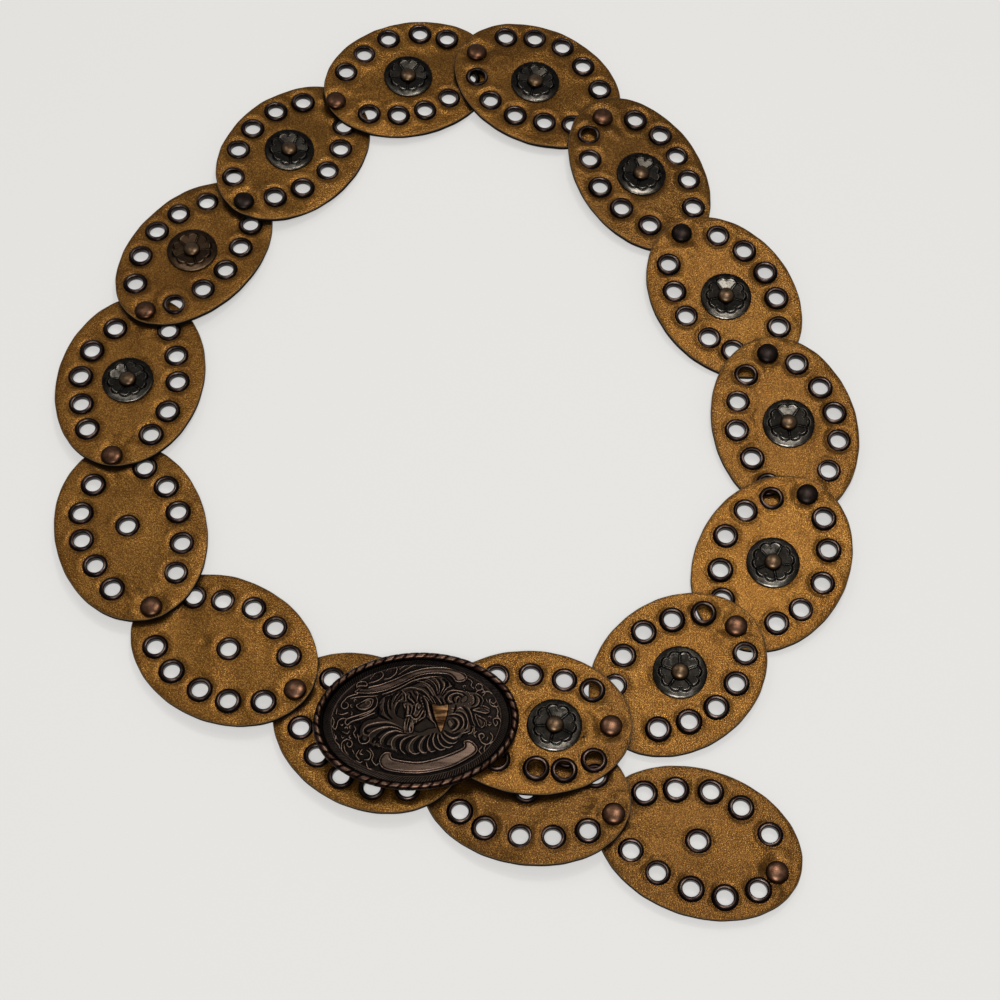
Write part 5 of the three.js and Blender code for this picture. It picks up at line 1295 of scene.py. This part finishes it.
def build_fixings():
    hu, hv = to_local(BF, HOOK["x"], HOOK["y"])
    m = Mesh()
    # hook post, swept round into its foot
    path = [(hu, hv, 15.6), (hu, hv, 13.0), (hu, hv, 9.0), (hu, hv, 5.0), (hu, hv, 3.2), (hu - 0.5, hv, 2.1), (hu - 1.6, hv, 1.55), (hu - 3.6, hv, 1.45), (hu - 5.6, hv, 1.45), (hu - 7.0, hv, 1.5)]
    rad = [(2.6, 2.6), (2.0, 2.0), (1.95, 1.95), (1.95, 1.95), (1.9, 1.9), (1.3, 1.9), (0.9, 1.85), (0.85, 1.8), (0.8, 1.6), (0.5, 1.0)]
    q = 20
    V, F = [], []
    for k, (p, (ra, rb)) in enumerate(zip(path, rad)):
        a = np.array(path[max(0, k - 1)]); b = np.array(path[min(len(path) - 1, k + 1)])
        t = (b - a) / np.linalg.norm(b - a)
        side = np.array([0.0, 1.0, 0.0])
        nrm = np.cross(t, side)
        for j in range(q):
            an = 2 * math.pi * j / q
            V.append(np.array(p) + nrm * ra * math.cos(an) + side * rb * math.sin(an))
    n = len(path)
    for k in range(n - 1):
        for j in range(q):
            j2 = (j + 1) % q
            F.append((k * q + j, k * q + j2, (k + 1) * q + j2, (k + 1) * q + j))
    F.append(tuple(reversed(range(q))))
    F.append(tuple((n - 1) * q + j for j in range(q)))
    V = np.array(V)
    x, y = to_world(BF, V[:, 0], V[:, 1])
    m.add(np.stack([x, y, V[:, 2]], 1), F, 0, worn=0.3)
    ob = m.done("buckle_hook", [M_BACKPLATE])
    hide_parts("buckle")
    # tab and riser
    tu, tv = to_local(BF, BRIVET["x"], BRIVET["y"])
    m = Mesh()
    T = TAB
    V, F = rounded_box(tu - T["near"], tu + T["far"], tv - T["half"], tv + T["half"], T["low"], T["high"], 1.2)
    x, y = to_world(BF, V[:, 0], V[:, 1])
    m.add(np.stack([x, y, V[:, 2]], 1), F, 0, worn=0.3)
    V, F = rounded_box(tu + T["far"] - T["riser"], tu + T["far"], tv - T["half"], tv + T["half"], T["low"] + 0.2, 15.5, 0.5)
    x, y = to_world(BF, V[:, 0], V[:, 1])
    m.add(np.stack([x, y, V[:, 2]], 1), F, 0, worn=0.3)
    ob = m.done("buckle_tab", [M_BACKPLATE])
    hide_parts("buckle")
    r = BRIVET
    prof = [(0, r["foot_low"]), (2.7, r["foot_low"]), (r["foot"], r["foot_low"] + 0.25), (r["foot"], r["foot_high"] - 0.1), (r["shank"], r["foot_high"]), (r["shank"], r["head_low"]),
            (r["head"], r["head_low"]), (r["head"], r["head_low"] + 0.45), (2.9, r["head_high"] - 0.12), (1.6, r["head_high"]), (0, r["head_high"] + 0.02)]
    verts, faces = lathe(prof, 32)
    ob = make("buckle_fixing_rivet", np.stack([verts[:, 0] + r["x"] + SHIFT[0], verts[:, 1] + r["y"] + SHIFT[1], verts[:, 2]], 1), faces, [M_RIVET], None, {"worn": np.full(len(verts), 0.3)})
    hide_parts("buckle_rivet")


# ------------------------------------------------------------------ build everything
for i in range(16):
    build_disc(i)
    build_eyelets(i)
    build_rivet(i)
for i in range(len(CONCHOS)):
    build_concho(i)
build_buckle()

# ------------------------------------------------------------------ camera, floor, light
th, ro = math.radians(CAMERA["tilt"]), math.radians(CAMERA["roll"])
fwd = Vector((0, math.sin(th), -math.cos(th)))
up0, right0 = Vector((0, math.cos(th), math.sin(th))), Vector((1, 0, 0))
right = math.cos(ro) * right0 + math.sin(ro) * up0
up = -math.sin(ro) * right0 + math.cos(ro) * up0
loc = Vector((CAMERA["x"] + SHIFT[0], CAMERA["y"] + SHIFT[1], CAMERA["z"]))
cam_data = bpy.data.cameras.new("camera")
cam = bpy.data.objects.new("camera", cam_data)
bpy.context.scene.collection.objects.link(cam)
rot = Matrix((right, up, -fwd)).transposed().to_4x4()
cam.matrix_world = Matrix.Translation(loc * MM) @ rot
cam_data.sensor_fit = "HORIZONTAL"
cam_data.sensor_width = 36.0
cam_data.lens = CAMERA["focal"] / 1000 * 36.0
cam_data.clip_start = 0.01
cam_data.clip_end = 50
bpy.context.scene.camera = cam

fl = Nodes("pale_floor")
fl.set(Base_Color=(0.40, 0.392, 0.380, 1), Roughness=0.9, Emission_Color=(1.0, 0.985, 0.955, 1), Emission_Strength=0.415)
fl.p.inputs["Specular IOR Level"].default_value = 0.1
me = bpy.data.meshes.new("floor")
me.from_pydata([(-4, -4, -0.0003), (4, -4, -0.0003), (4, 4, -0.0003), (-4, 4, -0.0003)], [], [(0, 1, 2, 3)])
me.materials.append(fl.mat)
floor = bpy.data.objects.new("floor", me)
bpy.context.scene.collection.objects.link(floor)


def area(name, pos, target, size, power, color=(1, 1, 1), size_y=None):
    li = bpy.data.lights.new(name, "AREA")
    li.shape = "RECTANGLE"
    li.size = size
    li.size_y = size_y or size
    li.energy = power
    li.color = color
    ob = bpy.data.objects.new(name, li)
    ob.location = pos
    ob.rotation_euler = (Vector(target) - Vector(pos)).to_track_quat("-Z", "Y").to_euler()
    bpy.context.scene.collection.objects.link(ob)
    return ob


area("key", (0.25, 0.43, 1.22), (0.08, -0.02, 0.0), 0.20, 3.1, (1.0, 0.98, 0.94), 0.20)
area("bar", (0.16, 0.13, 1.24), (0.10, -0.04, 0.0), 0.32, 1.0, (1.0, 0.985, 0.96), 0.12)
area("left", (-0.38, 0.66, 1.22), (-0.14, 0.0, 0.0), 0.34, 1.25, (1.0, 0.985, 0.96), 0.34)
area("front", (0.02, -0.66, 1.40), (0, 0, 0), 0.36, 9.0, (0.985, 0.99, 1.0))
world = bpy.data.worlds.new("studio")
bpy.context.scene.world = world
world.use_nodes = True
world.node_tree.nodes["Background"].inputs[0].default_value = (0.975, 0.98, 1.0, 1)
world.node_tree.nodes["Background"].inputs[1].default_value = 0.36
bpy.context.scene.view_settings.view_transform = "Standard"
bpy.context.scene.view_settings.look = "None"
